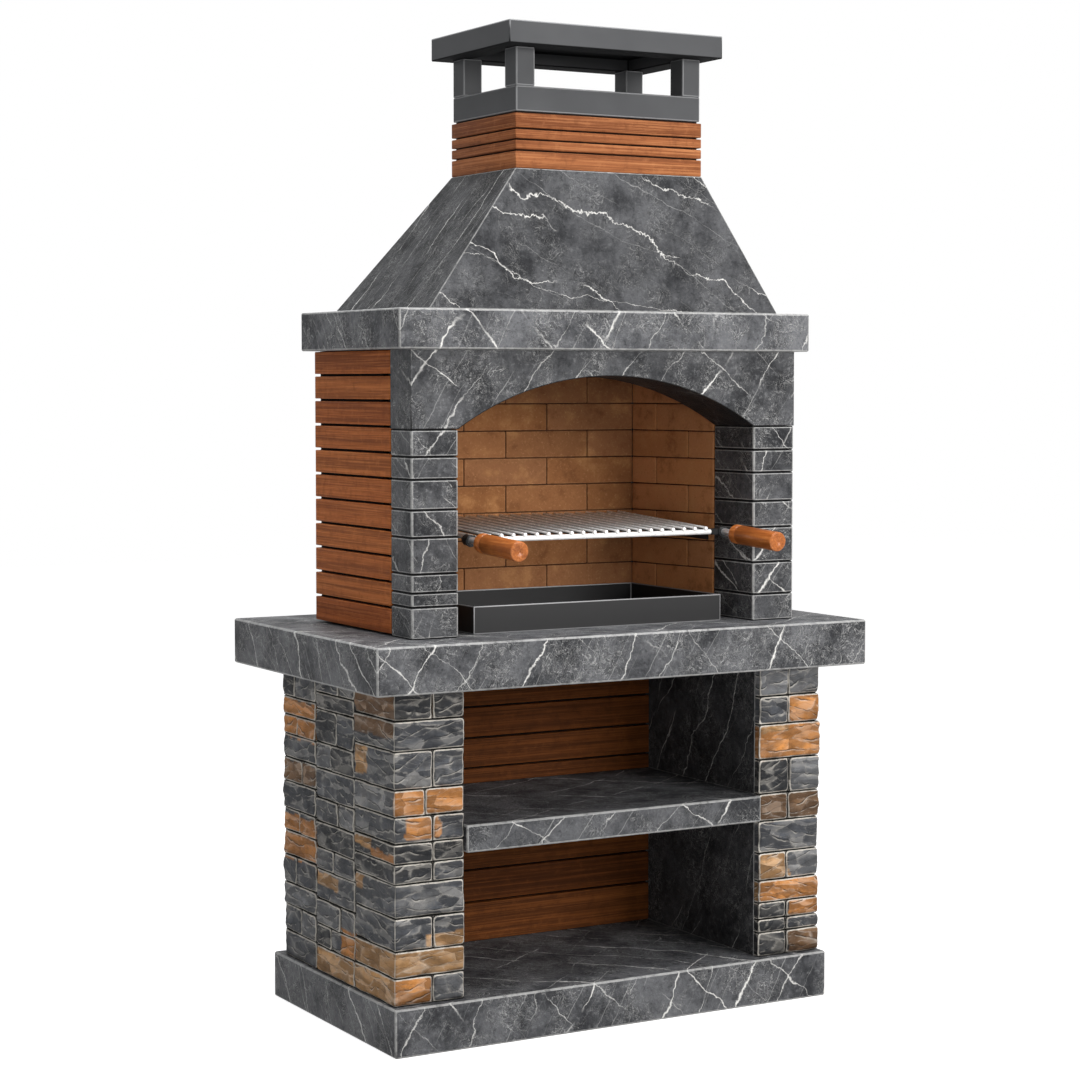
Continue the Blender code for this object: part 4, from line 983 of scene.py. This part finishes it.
def rim_distance(across, upward):
    """How far a point lies inside a rectangle with rounded corners."""
    if across < ROUND_CORNER and upward < ROUND_CORNER:
        return max(0.0, ROUND_CORNER - math.hypot(ROUND_CORNER - across, ROUND_CORNER - upward))
    return min(across, upward)


def split_face(bm, front_y, outer_x, ends_x, ends_y, low, high, patches, plain, seed):
    """Roughens one stone's shown sides, and colours its points. A side that isn't shown is None."""
    arris = bm.verts.layers.float.new("arris")
    shift = bm.verts.layers.float.new("shift")
    tone = bm.verts.layers.float_color.new("tone")
    wear_and_painted_light = wear_and_light_layer(bm)
    side = 0 if outer_x is None else math.copysign(1, outer_x)
    for corner in bm.verts:
        point = corner.co.copy()
        on_side = outer_x is not None and abs(point.x - outer_x) < 0.0005
        on_front = front_y is not None and abs(point.y - front_y) < 0.0005
        upward = min(point.z - low, high - point.z)
        rim = upward
        turn = 1.0
        if on_front:
            across = min(abs(point.x - end) for end in ends_x if end != outer_x)
            rim = rim_distance(across, upward)
            turn = 1.0 if outer_x is None else abs(point.x - outer_x)
        if on_side:
            across = min(abs(point.y - end) for end in ends_y if end != front_y)
            rim = min(rim, rim_distance(across, upward))
            turn = min(turn, 1.0 if front_y is None else abs(point.y - front_y))
        rim_near = max(0.0, 1.0 - rim / RIM_REACH)
        turn_near = max(0.0, 1.0 - turn / CORNER_REACH)
        push = cleft(point, seed) - RIM_DROP * rim_near**2 - CORNER_DROP * turn_near**2
        if on_side:
            corner.co.x += side * push
        if on_front:
            corner.co.y -= push
        face = "front" if on_front else "side"
        along = point.x if on_front else point.y
        bend = 0.012 * noise.noise(point * 30 + seed)
        own = tone_at(patches, face, along + bend, point.z + bend / 2, plain)
        corner[tone] = own
        # Marks for pale rims and corners (wear and painted highlight) and painted shade at the rim.
        corner[wear_and_painted_light] = max(0.0, 1.0 - rim / 0.010)
        corner[arris] = max(0.0, 1.0 - turn / 0.005)
        corner[shift] = seed.x / 9


# %% [markdown]
# A stone starts as a closed prism on its plan. Cuts along all three axes turn it into a grid of
# about 5 mm, fine enough to be roughened point by point. All the stones of a pillar are joined into
# one mesh, because they share one finish and never move apart.
# %% Prisms on a grid
GRID = 0.0046


def raised(plan, low, high):
    """A closed prism raised from its plan."""
    bm = bmesh.new()
    face = bm.faces.new([bm.verts.new((x, y, low)) for x, y in plan])
    grown = bmesh.ops.extrude_face_region(bm, geom=[face])
    top = [part for part in grown["geom"] if isinstance(part, bmesh.types.BMVert)]
    bmesh.ops.translate(bm, verts=top, vec=(0, 0, high - low))
    bmesh.ops.recalc_face_normals(bm, faces=bm.faces)
    return bm


def stone_prism(plan, low, high):
    """A stone cut into a grid fine enough to be roughened."""
    bm = raised(plan, low, high)
    for way in (AXIS_X, AXIS_Y, AXIS_Z):
        cut_along(bm, way, GRID)
    return bm


def join(whole, part):
    """Adds one bmesh to another, layers and all, and frees it."""
    mesh = bpy.data.meshes.new("joined")
    part.to_mesh(mesh)
    part.free()
    whole.from_mesh(mesh)
    bpy.data.meshes.remove(mesh)


# %% [markdown]
# The solid gives each stone's place as a rectangle. A broken rim would leave the joints too wide,
# so each rectangle first grows a little into them. Each stone also draws its plain tone and its own
# place in the noise, so no two stones break alike, and a fixed seed draws the same wall each time.
# %% Places and tones of the stones
STONE_GROWTH = 0.0014
FRONT_MIX = ("grey", "mid", "mid", "dark")
SIDE_MIX = ("grey", "mid", "dark", "mid")


def grown_into_joints(stones):
    """Rectangles made a little larger where they meet another one, but not at the outside."""
    least = [min(spot[part] for spot in stones) for part in (0, 2)]
    most = [max(spot[part] for spot in stones) for part in (1, 3)]
    larger = []
    for start, end, foot, top, level in stones:
        start = max(least[0], start - STONE_GROWTH)
        end = min(most[0], end + STONE_GROWTH)
        foot = max(least[1], foot - STONE_GROWTH)
        top = min(most[1], top + STONE_GROWTH)
        larger.append((start, end, foot, top, level))
    return larger


def drawn(rng, tones):
    """The plain tone of one stone, and a place of its own in the noise."""
    plain = TONES[rng.choice(tones)]
    return plain, Vector((rng.uniform(0, 9), rng.uniform(0, 9), rng.uniform(0, 9)))


def corner_plan(inner_x, outer_x, deep_x, front_y, deep_y, back_y):
    """An L-shaped plan that turns the pillar's front corner."""
    return (
        (inner_x, front_y),
        (outer_x, front_y),
        (outer_x, back_y),
        (deep_x, back_y),
        (deep_x, deep_y),
        (inner_x, deep_y),
    )


# %% [markdown]
# On each pillar the front stones and the side stones are read from the solid. Where a front stone
# reaches the corner, it is paired with the side stone at the same height, and both become one
# L-shaped block, as on a real wall. A near-black bed of painted shade lies behind them all and
# shows in the joints.
# %% Two clad pillars
STONE_DEPTH = 0.0205
BED_INSET = 0.004
BED_FRONT = 0.009
BED_BACK = 0.0215
AT_CORNER = 0.004


def clad_pillar(word, side, patches):
    node = f"{word}_ledgestone"
    low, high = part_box(node)
    front_stones = grown_into_joints(proud(node, -AXIS_Y, 0.0035))
    side_stones = grown_into_joints(proud(node, AXIS_X * side, 0.0035))
    outer = high.x if side > 0 else low.x
    rng = random.Random(11 + side)
    whole = bmesh.new()
    wear_and_light_layer(whole)
    whole.verts.layers.float.new("arris")
    whole.verts.layers.float.new("shift")
    whole.verts.layers.float_color.new("tone")
    taken = []
    for start, end, foot, top, level in front_stones:
        plain, seed = drawn(rng, FRONT_MIX)
        front_y = -level
        deep_y = front_y + STONE_DEPTH
        inner_x, reach = (start, end) if side > 0 else (end, start)
        if abs(reach - outer) < AT_CORNER:
            mates = [spot for spot in side_stones if abs(spot[2] - foot) < 0.001]
            mate = min(mates, key=lambda spot: min(abs(side * y - low.y) for y in spot[:2]))
            taken.append(mate)
            back_y = max(side * mate[0], side * mate[1])
            outer_x = side * mate[4]
            deep_x = outer_x - side * STONE_DEPTH
            ends_x = (inner_x, outer_x)
            ends_y = (front_y, back_y)
            plan = corner_plan(inner_x, outer_x, deep_x, front_y, deep_y, back_y)
        else:
            outer_x = None
            ends_x = (start, end)
            ends_y = None
            plan = ((start, front_y), (end, front_y), (end, deep_y), (start, deep_y))
        stone = stone_prism(plan, foot, top)
        split_face(stone, front_y, outer_x, ends_x, ends_y, foot, top, patches, plain, seed)
        join(whole, stone)
    for spot in side_stones:
        if spot in taken:
            continue
        plain, seed = drawn(rng, SIDE_MIX)
        ends_y = sorted((side * spot[0], side * spot[1]))
        outer_x = side * spot[4]
        deep_x = outer_x - side * STONE_DEPTH
        near_y, far_y = ends_y
        plan = ((deep_x, near_y), (outer_x, near_y), (outer_x, far_y), (deep_x, far_y))
        stone = stone_prism(plan, spot[2], spot[3])
        split_face(stone, None, outer_x, None, ends_y, spot[2], spot[3], patches, plain, seed)
        join(whole, stone)
    stones = len(front_stones) + len(side_stones) - len(taken)
    print(node, "stones:", stones, "faces:", len(whole.faces))
    show(f"{word} split stones", whole, ledge_stone, [], angle=60.0)
    inner_x = (low.x if side > 0 else high.x) + side * BED_INSET
    shown_x, hidden_x = (outer - side * depth for depth in (BED_FRONT, BED_BACK))
    shown_y, hidden_y = (low.y + depth for depth in (BED_FRONT, BED_BACK))
    bed = raised(corner_plan(inner_x, shown_x, hidden_x, shown_y, hidden_y, high.y), low.z, high.z)
    # The bed is near-black, as painted shade in the joints.
    show(f"{word} stone bed", bed, painted_shade_backing, [node], angle=30.0)


clad_pillar("left", LEFT, LEFT_PATCHES)
clad_pillar("right", RIGHT, RIGHT_PATCHES)

# %% [markdown]
# A brick slip is a box with eased edges and a slightly uneven face. Each brick gets its own tone,
# because firing never gives two bricks the same colour. The bricks of the right wall are also
# painted much lighter, as painted light where the low lamp falls on that wall. The slips lie on a
# dark sheet that shows in the joints.
# %% Brick walls
BRICK_DEPTH = 0.006
BRICK_GROWTH = 0.0012
CORNER_GROWTH = 0.0035
JOINT_DEPTH = 0.0026
BRICK_TONE = colour(145, 98, 63)


def pressed_back(node, out, level):
    """A copy of a solid, with all that stands past a level pressed back to it."""
    bm = solid_of(node)
    for corner in bm.verts:
        stands = corner.co.dot(out) - level
        if stands > 0:
            corner.co -= out * stands
    return bm


def brick_lining(node, out, name, seed, light=1.0):
    rng = random.Random(seed)
    across = Vector((-out.y, out.x, 0))
    slips = proud(node, out, 0.001)
    row_start = min(spot[0] for spot in slips)
    row_end = max(spot[1] for spot in slips)
    whole = bmesh.new()
    wear_and_light_layer(whole)
    whole.verts.layers.float_color.new("tone")
    for start, end, low, high, level in slips:
        brick = bmesh.new()
        wear_and_light_layer(brick)
        tone = brick.verts.layers.float_color.new("tone")
        first = start - (CORNER_GROWTH if start < row_start + 0.001 else BRICK_GROWTH)
        last = end + (CORNER_GROWTH if end > row_end - 0.001 else BRICK_GROWTH)
        grown = (first, last, low - BRICK_GROWTH, high + BRICK_GROWTH)
        slab_between(brick, across, out, *grown, level - BRICK_DEPTH, level)
        round_off(brick, 0.0022, 2)
        band_off(brick, 0.003)
        # Painted light: a wall's tone can be raised as a whole, for the lit right wall.
        warm = rng.uniform(0.86, 1.10) * light
        pale = rng.uniform(-0.012, 0.016)
        shade = [max(0.0, part * warm + pale * 0.5) for part in BRICK_TONE[:3]]
        for corner in brick.verts:
            corner[tone] = (*shade, 1.0)
            corner.co += out * 0.0006 * noise.noise(corner.co * 40)
        join(whole, brick)
    show(name, whole, lining_brick, [], angle=40.0)
    sheet = pressed_back(node, out, slips[0][4] - JOINT_DEPTH)
    show(name + " sheet", sheet, brick_mortar, [node], angle=30.0)
    print(node, "bricks:", len(slips))


def wall_direction(node, guess):
    """The exact way a wall looks: the normal of its largest face near a guessed way."""
    bm = solid_of(node)
    faces = [face for face in bm.faces if face.normal.dot(guess) > 0.9]
    way = max(faces, key=lambda face: face.calc_area()).normal.copy()
    bm.free()
    return way


brick_lining("firebrick_back", -AXIS_Y, "back bricks", 3)
brick_lining("firebrick_left", wall_direction("firebrick_left", AXIS_X), "left bricks", 4)
# The right wall's bricks are painted 1.85 times lighter, as painted light.
brick_lining("firebrick_right", wall_direction("firebrick_right", -AXIS_X), "right bricks", 5, 1.85)

# %% [markdown]
# The boards are long boxes with eased edges. Their places come from the solids too. Each board
# holds a random shift as a mesh attribute, which the timber material uses to move its grain.
# %% Boards and slats
BOARD_GROWTH = 0.0004
BOARD_UNEVEN = 0.0004


def boarded(node, out, name, material, depth, seed):
    rng = random.Random(seed)
    across = Vector((-out.y, out.x, 0))
    boards = proud(node, out, 0.001)
    whole = bmesh.new()
    wear_and_light_layer(whole)
    whole.verts.layers.float.new("shift")
    for start, end, low, high, level in boards:
        board = bmesh.new()
        front = level + rng.uniform(-BOARD_UNEVEN, BOARD_UNEVEN)
        low -= BOARD_GROWTH
        high += BOARD_GROWTH
        slab_between(board, across, out, start, end, low, high, level - depth, front)
        round_off(board, 0.0018, 3)
        band_off(board, 0.003)
        carry(board, "shift", rng.random())
        join(whole, board)
    show(name, whole, material, [], angle=40.0)
    return boards


def battens(node, out, name, depth):
    """What lies behind the boards: the solid, flattened to the battens and a thin backing, near-black as
    painted shade.
    """
    level = proud(node, out, 0.001)[0][4] - depth + 0.001
    show(name, pressed_back(node, out, level), painted_shade_backing, [node], angle=30.0)


for node, out, name, material, depth, seed in (
    ("upper_back_boards", -AXIS_Y, "upper boards", board_timber, 0.018, 21),
    ("lower_back_boards", -AXIS_Y, "lower boards", board_timber, 0.018, 22),
    ("left_slat_cladding", -AXIS_X, "left slats", slat_timber, 0.016, 23),
    ("right_slat_cladding", AXIS_X, "right slats", slat_timber, 0.016, 24),
):
    rows = boarded(node, out, name, material, depth, seed)
    battens(node, out, name + " battens", depth)
    print(node, "boards:", len(rows))

# %% [markdown]
# The four bands of the chimney lie over each other with dark gaps between them. Each is a rounded
# copy of its solid, and every point that lies behind the outer face is marked dark, because no
# light reaches the inside of a gap.
# %% Chimney bands
BAND_LIP_DEPTH = 0.0022
for number in range(1, 5):
    node = f"chimney_band_{number}"
    low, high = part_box(node)
    band = bmesh.new()
    band.from_mesh(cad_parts[node].data)
    bmesh.ops.remove_doubles(band, verts=band.verts, dist=0.00001)
    round_off(band, 0.0007, 2)
    carry(band, "shift", 0.17 * number)
    wear_and_painted_light = wear_and_light_layer(band)
    for corner in band.verts:
        from_side = min(corner.co.x - low.x, high.x - corner.co.x)
        from_front = min(corner.co.y - low.y, high.y - corner.co.y)
        corner[wear_and_painted_light] = -1.0 if min(from_side, from_front) > BAND_LIP_DEPTH else 0.0
    show(f"chimney band {number} dressed", band, band_timber, [node])
print("chimney bands:", number)

# %% [markdown]
# The cap, its posts, the collar and the tray keep their solids' shapes. Bent and welded metal has
# tight edges, so these are rounded by less than a millimetre. The runners, the cores and the flue
# lie mostly hidden, so they keep their solids and only get a new finish.
# %% Metal pieces
posts = [f"cap_post_{word}_{place}" for word in ("left", "right") for place in ("front", "back")]
for node in ("chimney_cap", "chimney_collar", *posts):
    edge, band = (0.0006, 0.002) if node in posts else (0.0008, 0.0018)
    name = node.replace("_", " ") + " dressed"
    # The cap's underside gets painted shade.
    dressed(node, name, cap_metal, edge, 2, band, painted_shade_below=(node == "chimney_cap"))
dressed("charcoal_tray", "charcoal tray dressed", tray_metal, 0.0009, 2, 0.0030, "tray")
for node, finish in (
    ("left_grate_runner", tray_metal),
    ("right_grate_runner", tray_metal),
    ("left_pillar_core", cast_concrete),
    ("right_pillar_core", cast_concrete),
    ("firebox_core", cast_concrete),
    ("chimney_flue", cast_concrete),
):
    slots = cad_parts[node].data.materials
    slots.clear()
    slots.append(finish)
print("posts:", len(posts))

# %% [markdown]
# The grate is redrawn with rounder bars than the solid has. Every bar is a closed cylinder with
# slightly eased ends. The bars lie on the front and rear rails, and their ends stick out a
# little past the rails, which is what catches the light in front. A mask on each bar keeps its top
# bright and paints shade below it, so all but the top is dark and dull.
# %% The cooking grate
GRATE_TILT = math.radians(3.0)
GRATE_FRONT = Vector((0.0, -0.2235, 1.109))
LEANING = Matrix.Translation(GRATE_FRONT) @ Matrix.Rotation(GRATE_TILT, 4, "X")
GRATE_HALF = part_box("cooking_grate")[1].x
GRATE_DEPTH = 0.3785
BAR_RADIUS = 0.0042
RAIL_RADIUS = 0.006
BAR_COUNT = 20
BAR_LIE = 0.0088
BAR_OVERRUN = 0.0075
BRIGHT_FROM = 0.20


def rod_between(bm, start, end, radius, segments):
    start, end = Vector(start), Vector(end)
    way = end - start
    turn = AXIS_Z.rotation_difference(way).to_matrix().to_4x4()
    made = bmesh.ops.create_cone(
        bm,
        cap_ends=True,
        segments=segments,
        radius1=radius,
        radius2=radius,
        depth=way.length,
        matrix=Matrix.Translation((start + end) / 2) @ turn,
    )
    return made["verts"]


def grate_mesh():
    bm = bmesh.new()
    wear_and_painted_light = wear_and_light_layer(bm)
    half = GRATE_HALF - RAIL_RADIUS
    for y in (0.0, GRATE_DEPTH):
        rod_between(bm, (-GRATE_HALF, y, 0.0), (GRATE_HALF, y, 0.0), RAIL_RADIUS, 24)
    for x in (-half, half):
        rod_between(bm, (x, 0.0, -0.0004), (x, GRATE_DEPTH, -0.0004), RAIL_RADIUS - 0.0005, 24)
    last = half - 0.010
    for number in range(BAR_COUNT):
        x = -last + 2 * last * number / (BAR_COUNT - 1)
        rod_between(bm, (x, -BAR_OVERRUN, BAR_LIE), (x, 0.0, BAR_LIE), BAR_RADIUS + 0.0002, 16)
        rear = GRATE_DEPTH + BAR_OVERRUN
        bar = rod_between(bm, (x, -0.001, BAR_LIE), (x, rear, BAR_LIE), BAR_RADIUS, 16)
        # Painted shade: the lower part of each bar is marked dark.
        for corner in bar:
            height = (corner.co.z - BAR_LIE) / BAR_RADIUS
            corner[wear_and_painted_light] = max(-1.0, min(0.0, (height - BRIGHT_FROM) * 2.8))
    round_off(bm, 0.0007, 2, angle=60.0)
    bmesh.ops.transform(bm, matrix=LEANING, verts=bm.verts)
    return bm


show("grate bars and rails", grate_mesh(), grate_metal, ["cooking_grate"], "grate", 50.0)
print("grate bars:", BAR_COUNT, "over", round(2 * GRATE_HALF, 3), "m")

# %% [markdown]
# A handle is made of turned parts. A turned part is a profile spun round its axis, and the profile
# lists radius and reach, from the grate outwards. The grip's is the richest: it has two rounded
# ends, a groove near the socket and a small dimple where the lathe held it.
# %% Turned parts
GRIP_STEPS = 56


def spun(profile):
    bm = bmesh.new()
    points = [bm.verts.new((radius, -reach, 0)) for radius, reach in profile]
    lines = [bm.edges.new(pair) for pair in zip(points, points[1:])]
    bmesh.ops.spin(
        bm,
        geom=points + lines,
        cent=(0, 0, 0),
        axis=AXIS_Y,
        angle=2 * math.pi,
        steps=GRIP_STEPS,
        use_merge=True,
    )
    bmesh.ops.remove_doubles(bm, verts=bm.verts, dist=0.00001)
    bmesh.ops.recalc_face_normals(bm, faces=bm.faces)
    wear_and_light_layer(bm)
    return bm


def arc(middle, radius, start, end, steps):
    """Points on a circle in the profile's plane; angles in degrees from the radius axis."""
    spots = []
    for number in range(steps + 1):
        angle = math.radians(start + (end - start) * number / steps)
        spots.append((middle[0] + radius * math.cos(angle), middle[1] + radius * math.sin(angle)))
    return spots


def grip_profile(start, end):
    radius = 0.0222
    groove = start + 0.022
    near = arc((radius - 0.004, start + 0.004), 0.004, -90.0, 0.0, 5)
    ring = [
        (radius, groove - 0.0006),
        (radius - 0.0007, groove),
        (radius - 0.0016, groove + 0.0012),
        (radius - 0.0016, groove + 0.0028),
        (radius - 0.0007, groove + 0.0040),
        (radius, groove + 0.0046),
    ]
    far = arc((radius - 0.003, end - 0.003), 0.003, 0.0, 90.0, 5)
    dimple = [(0.0034, end), (0.0028, end - 0.0004), (0.0010, end - 0.0014), (0.0, end - 0.0016)]
    inner = [(0.0, start + 0.004), (0.0088, start + 0.004), (0.0088, start), (radius - 0.004, start)]
    return inner + near[1:] + ring + far + dimple


# %% [markdown]
# Each handle is a row of these parts on one axis, in the grate's own leaning plane: a black socket
# with a lug and a wire clip, a chrome rod and a wooden grip. They are made at the origin first,
# where their sizes are easy to read, and one matrix then puts all three in place.
# %% The two handles
HANDLE_REACH = 0.032


def socket_mesh(side):
    """A ring, the lug that joins it to the grate, and a bent wire clip on its outer side."""
    socket = spun(
        [
            (0.0090, 0.0),
            (0.0117, 0.0),
            (0.0125, 0.0008),
            (0.0125, 0.0232),
            (0.0117, 0.0240),
            (0.0090, 0.0240),
            (0.0088, 0.0230),
            (0.0088, 0.0010),
            (0.0090, 0.0),
        ]
    )
    near = -side * 0.010
    far = -side * (HANDLE_REACH - 0.0004)
    size = Matrix.Diagonal((abs(far - near), 0.017, 0.013, 1.0))
    lug_place = Matrix.Translation(((near + far) / 2, -0.012, 0.0))
    bmesh.ops.create_cube(socket, size=1.0, matrix=lug_place @ size)
    disc = bmesh.ops.create_circle(
        socket,
        cap_ends=True,
        segments=16,
        radius=0.002,
        matrix=Matrix.Translation((side * 0.0125, -0.022, 0)),
    )
    bmesh.ops.spin(
        socket,
        geom=list({face for corner in disc["verts"] for face in corner.link_faces}),
        cent=(0, -0.022, 0),
        axis=AXIS_Y,
        angle=side * math.radians(235),
        steps=28,
    )
    bmesh.ops.recalc_face_normals(socket, faces=socket.faces)
    return socket


def handle(word, side):
    axis_x = side * (GRATE_HALF + HANDLE_REACH)
    place = LEANING @ Matrix.Translation((axis_x, 0.014, 0.0))
    socket = socket_mesh(side)
    rod = spun([(0.0, 0.006), (0.0085, 0.006), (0.0085, 0.0740), (0.0, 0.0740)])
    wood = spun(grip_profile(0.072, 0.242))
    # Painted highlight: the rim of the grip's end is marked pale.
    for corner in wood.verts:
        from_axis = math.hypot(corner.co.x, corner.co.z)
        corner[wear_and_light_layer(wood)] = 1.0 if corner.co.y < -0.2395 and from_axis > 0.0185 else 0.0
    for name, bm, finish, node, slot, angle in (
        ("socket", socket, tray_metal, "handle_socket", "black_steel", 40.0),
        ("rod", rod, rod_metal, "handle_rod", "chromed_steel", 40.0),
        ("grip", wood, grip_wood, "grip", "varnished_wood", 50.0),
    ):
        bmesh.ops.transform(bm, matrix=place, verts=bm.verts)
        show(f"{word} {name} dressed", bm, finish, [f"{word}_{node}"], "grate", angle)


handle("left", LEFT)
handle("right", RIGHT)
print("handles at x", round(GRATE_HALF + HANDLE_REACH, 4))

# %% [markdown]
# The stage is a pale floor that only keeps the shadow. To the camera and in every reflection it is
# nearly as bright as the white world, so the picture has no horizon. Rays that light the stone see
# a plain grey floor and a dim world instead, which leaves the shading to the lights.
# %% Floor and world


def shows_backdrop(tree):
    """White for rays from the camera, and for mirrored and refracted ones, which show the backdrop."""
    rays = tree.nodes.new("ShaderNodeLightPath").outputs
    direct = maths(tree, "MAXIMUM", rays["Is Camera Ray"], rays["Is Glossy Ray"])
    return maths(tree, "MAXIMUM", direct, rays["Is Transmission Ray"])


def pale_floor():
    bm = bmesh.new()
    bmesh.ops.create_grid(bm, x_segments=1, y_segments=1, size=14.0)
    mesh = bpy.data.meshes.new("studio floor")
    bm.to_mesh(mesh)
    bm.free()
    floor = bpy.data.objects.new("studio_floor", mesh)
    bpy.context.scene.collection.objects.link(floor)
    floor.location.z = -0.0005
    floor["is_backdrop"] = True
    material = bpy.data.materials.new("studio floor")
    material.use_nodes = True
    tree = material.node_tree
    tree.nodes.remove(tree.nodes["Principled BSDF"])
    body = add(tree, "BsdfDiffuse", {"Color": (0.45, 0.45, 0.45, 1.0)})
    glow = add(tree, "Emission", {"Color": (1.0, 1.0, 1.0, 1.0), "Strength": 0.88})
    both = add(tree, "AddShader", {0: body.outputs[0], 1: glow.outputs[0]})
    shaders = {0: shows_backdrop(tree), 1: body.outputs[0], 2: both.outputs[0]}
    choice = add(tree, "MixShader", shaders)
    tree.links.new(choice.outputs[0], tree.nodes["Material Output"].inputs["Surface"])
    mesh.materials.append(material)


def white_world(ambient):
    world = bpy.data.worlds.new("studio")
    world.use_nodes = True
    tree = world.node_tree
    tree.nodes.clear()
    soft = add(tree, "Background", {"Color": (1.0, 1.0, 1.0, 1.0), "Strength": ambient})
    white = add(tree, "Background", {"Color": (1.0, 1.0, 1.0, 1.0), "Strength": 1.0})
    shaders = {0: shows_backdrop(tree), 1: soft.outputs[0], 2: white.outputs[0]}
    choice = add(tree, "MixShader", shaders)
    out = tree.nodes.new("ShaderNodeOutputWorld")
    tree.links.new(choice.outputs[0], out.inputs["Surface"])
    bpy.context.scene.world = world


pale_floor()
white_world(0.25)
print("world:", bpy.context.scene.world.name)

# %% [markdown]
# Broad lights model the stone: a key from the right front above, a weak fill from the left, a light
# from above for the level tops, and a low one from the left front that reaches the right wall of
# the fire opening. They are large, so their shadows have soft edges.
# %% Lights


def area_light(name, place, aim, width, height, power, tone):
    data = bpy.data.lights.new(name, "AREA")
    data.shape = "RECTANGLE"
    data.size = width
    data.size_y = height
    data.energy = power
    data.color = tone
    light = bpy.data.objects.new(name, data)
    light.location = place
    light.rotation_euler = (Vector(aim) - Vector(place)).to_track_quat("-Z", "Y").to_euler()
    bpy.context.scene.collection.objects.link(light)


area_light("key light", (2.4, -6.2, 3.0), (0.0, -0.2, 1.1), 3.0, 3.0, 388.0, (1.0, 0.985, 0.965))
area_light("fill light", (-5.4, 1.2, 2.4), (-0.4, 0.0, 1.1), 2.6, 3.0, 26.0, (0.98, 0.99, 1.0))
area_light("top light", (-0.4, -0.9, 5.6), (0.0, 0.0, 1.2), 2.6, 2.0, 295.0, (1.0, 1.0, 1.0))
area_light("low light", (-1.7, -5.0, 1.5), (0.3, 0.0, 1.15), 1.0, 1.0, 32.0, (1.0, 0.98, 0.95))
print("lamps:", [lamp.name for lamp in bpy.data.lights])

# %% [markdown]
# The camera stands about 30 degrees to the left of the front, at chest height, where the picture
# was taken from. A long lens at almost six metres keeps the upright edges nearly parallel.
# %% Camera
YAW = math.radians(29.749)
PITCH = math.radians(-3.634)
lens = bpy.data.cameras.new("picture camera")
lens.lens = 82.29
lens.sensor_width = 36.0
camera = bpy.data.objects.new("picture camera", lens)
camera.location = (-2.8993, -5.0249, 1.4552)
forward = Vector((math.sin(YAW) * math.cos(PITCH), math.cos(YAW) * math.cos(PITCH), math.sin(PITCH)))
camera.rotation_euler = forward.to_track_quat("-Z", "Y").to_euler()
bpy.context.scene.collection.objects.link(camera)
bpy.context.scene.camera = camera
bpy.context.scene.view_settings.view_transform = "Standard"
print("camera at", tuple(round(part, 2) for part in camera.location))

# %% [markdown]
# Last comes the size of the dressed object, as a box. It lies in the imported model's box, apart
# from the few millimetres that rough stone and rounded boards add.
low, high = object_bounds()
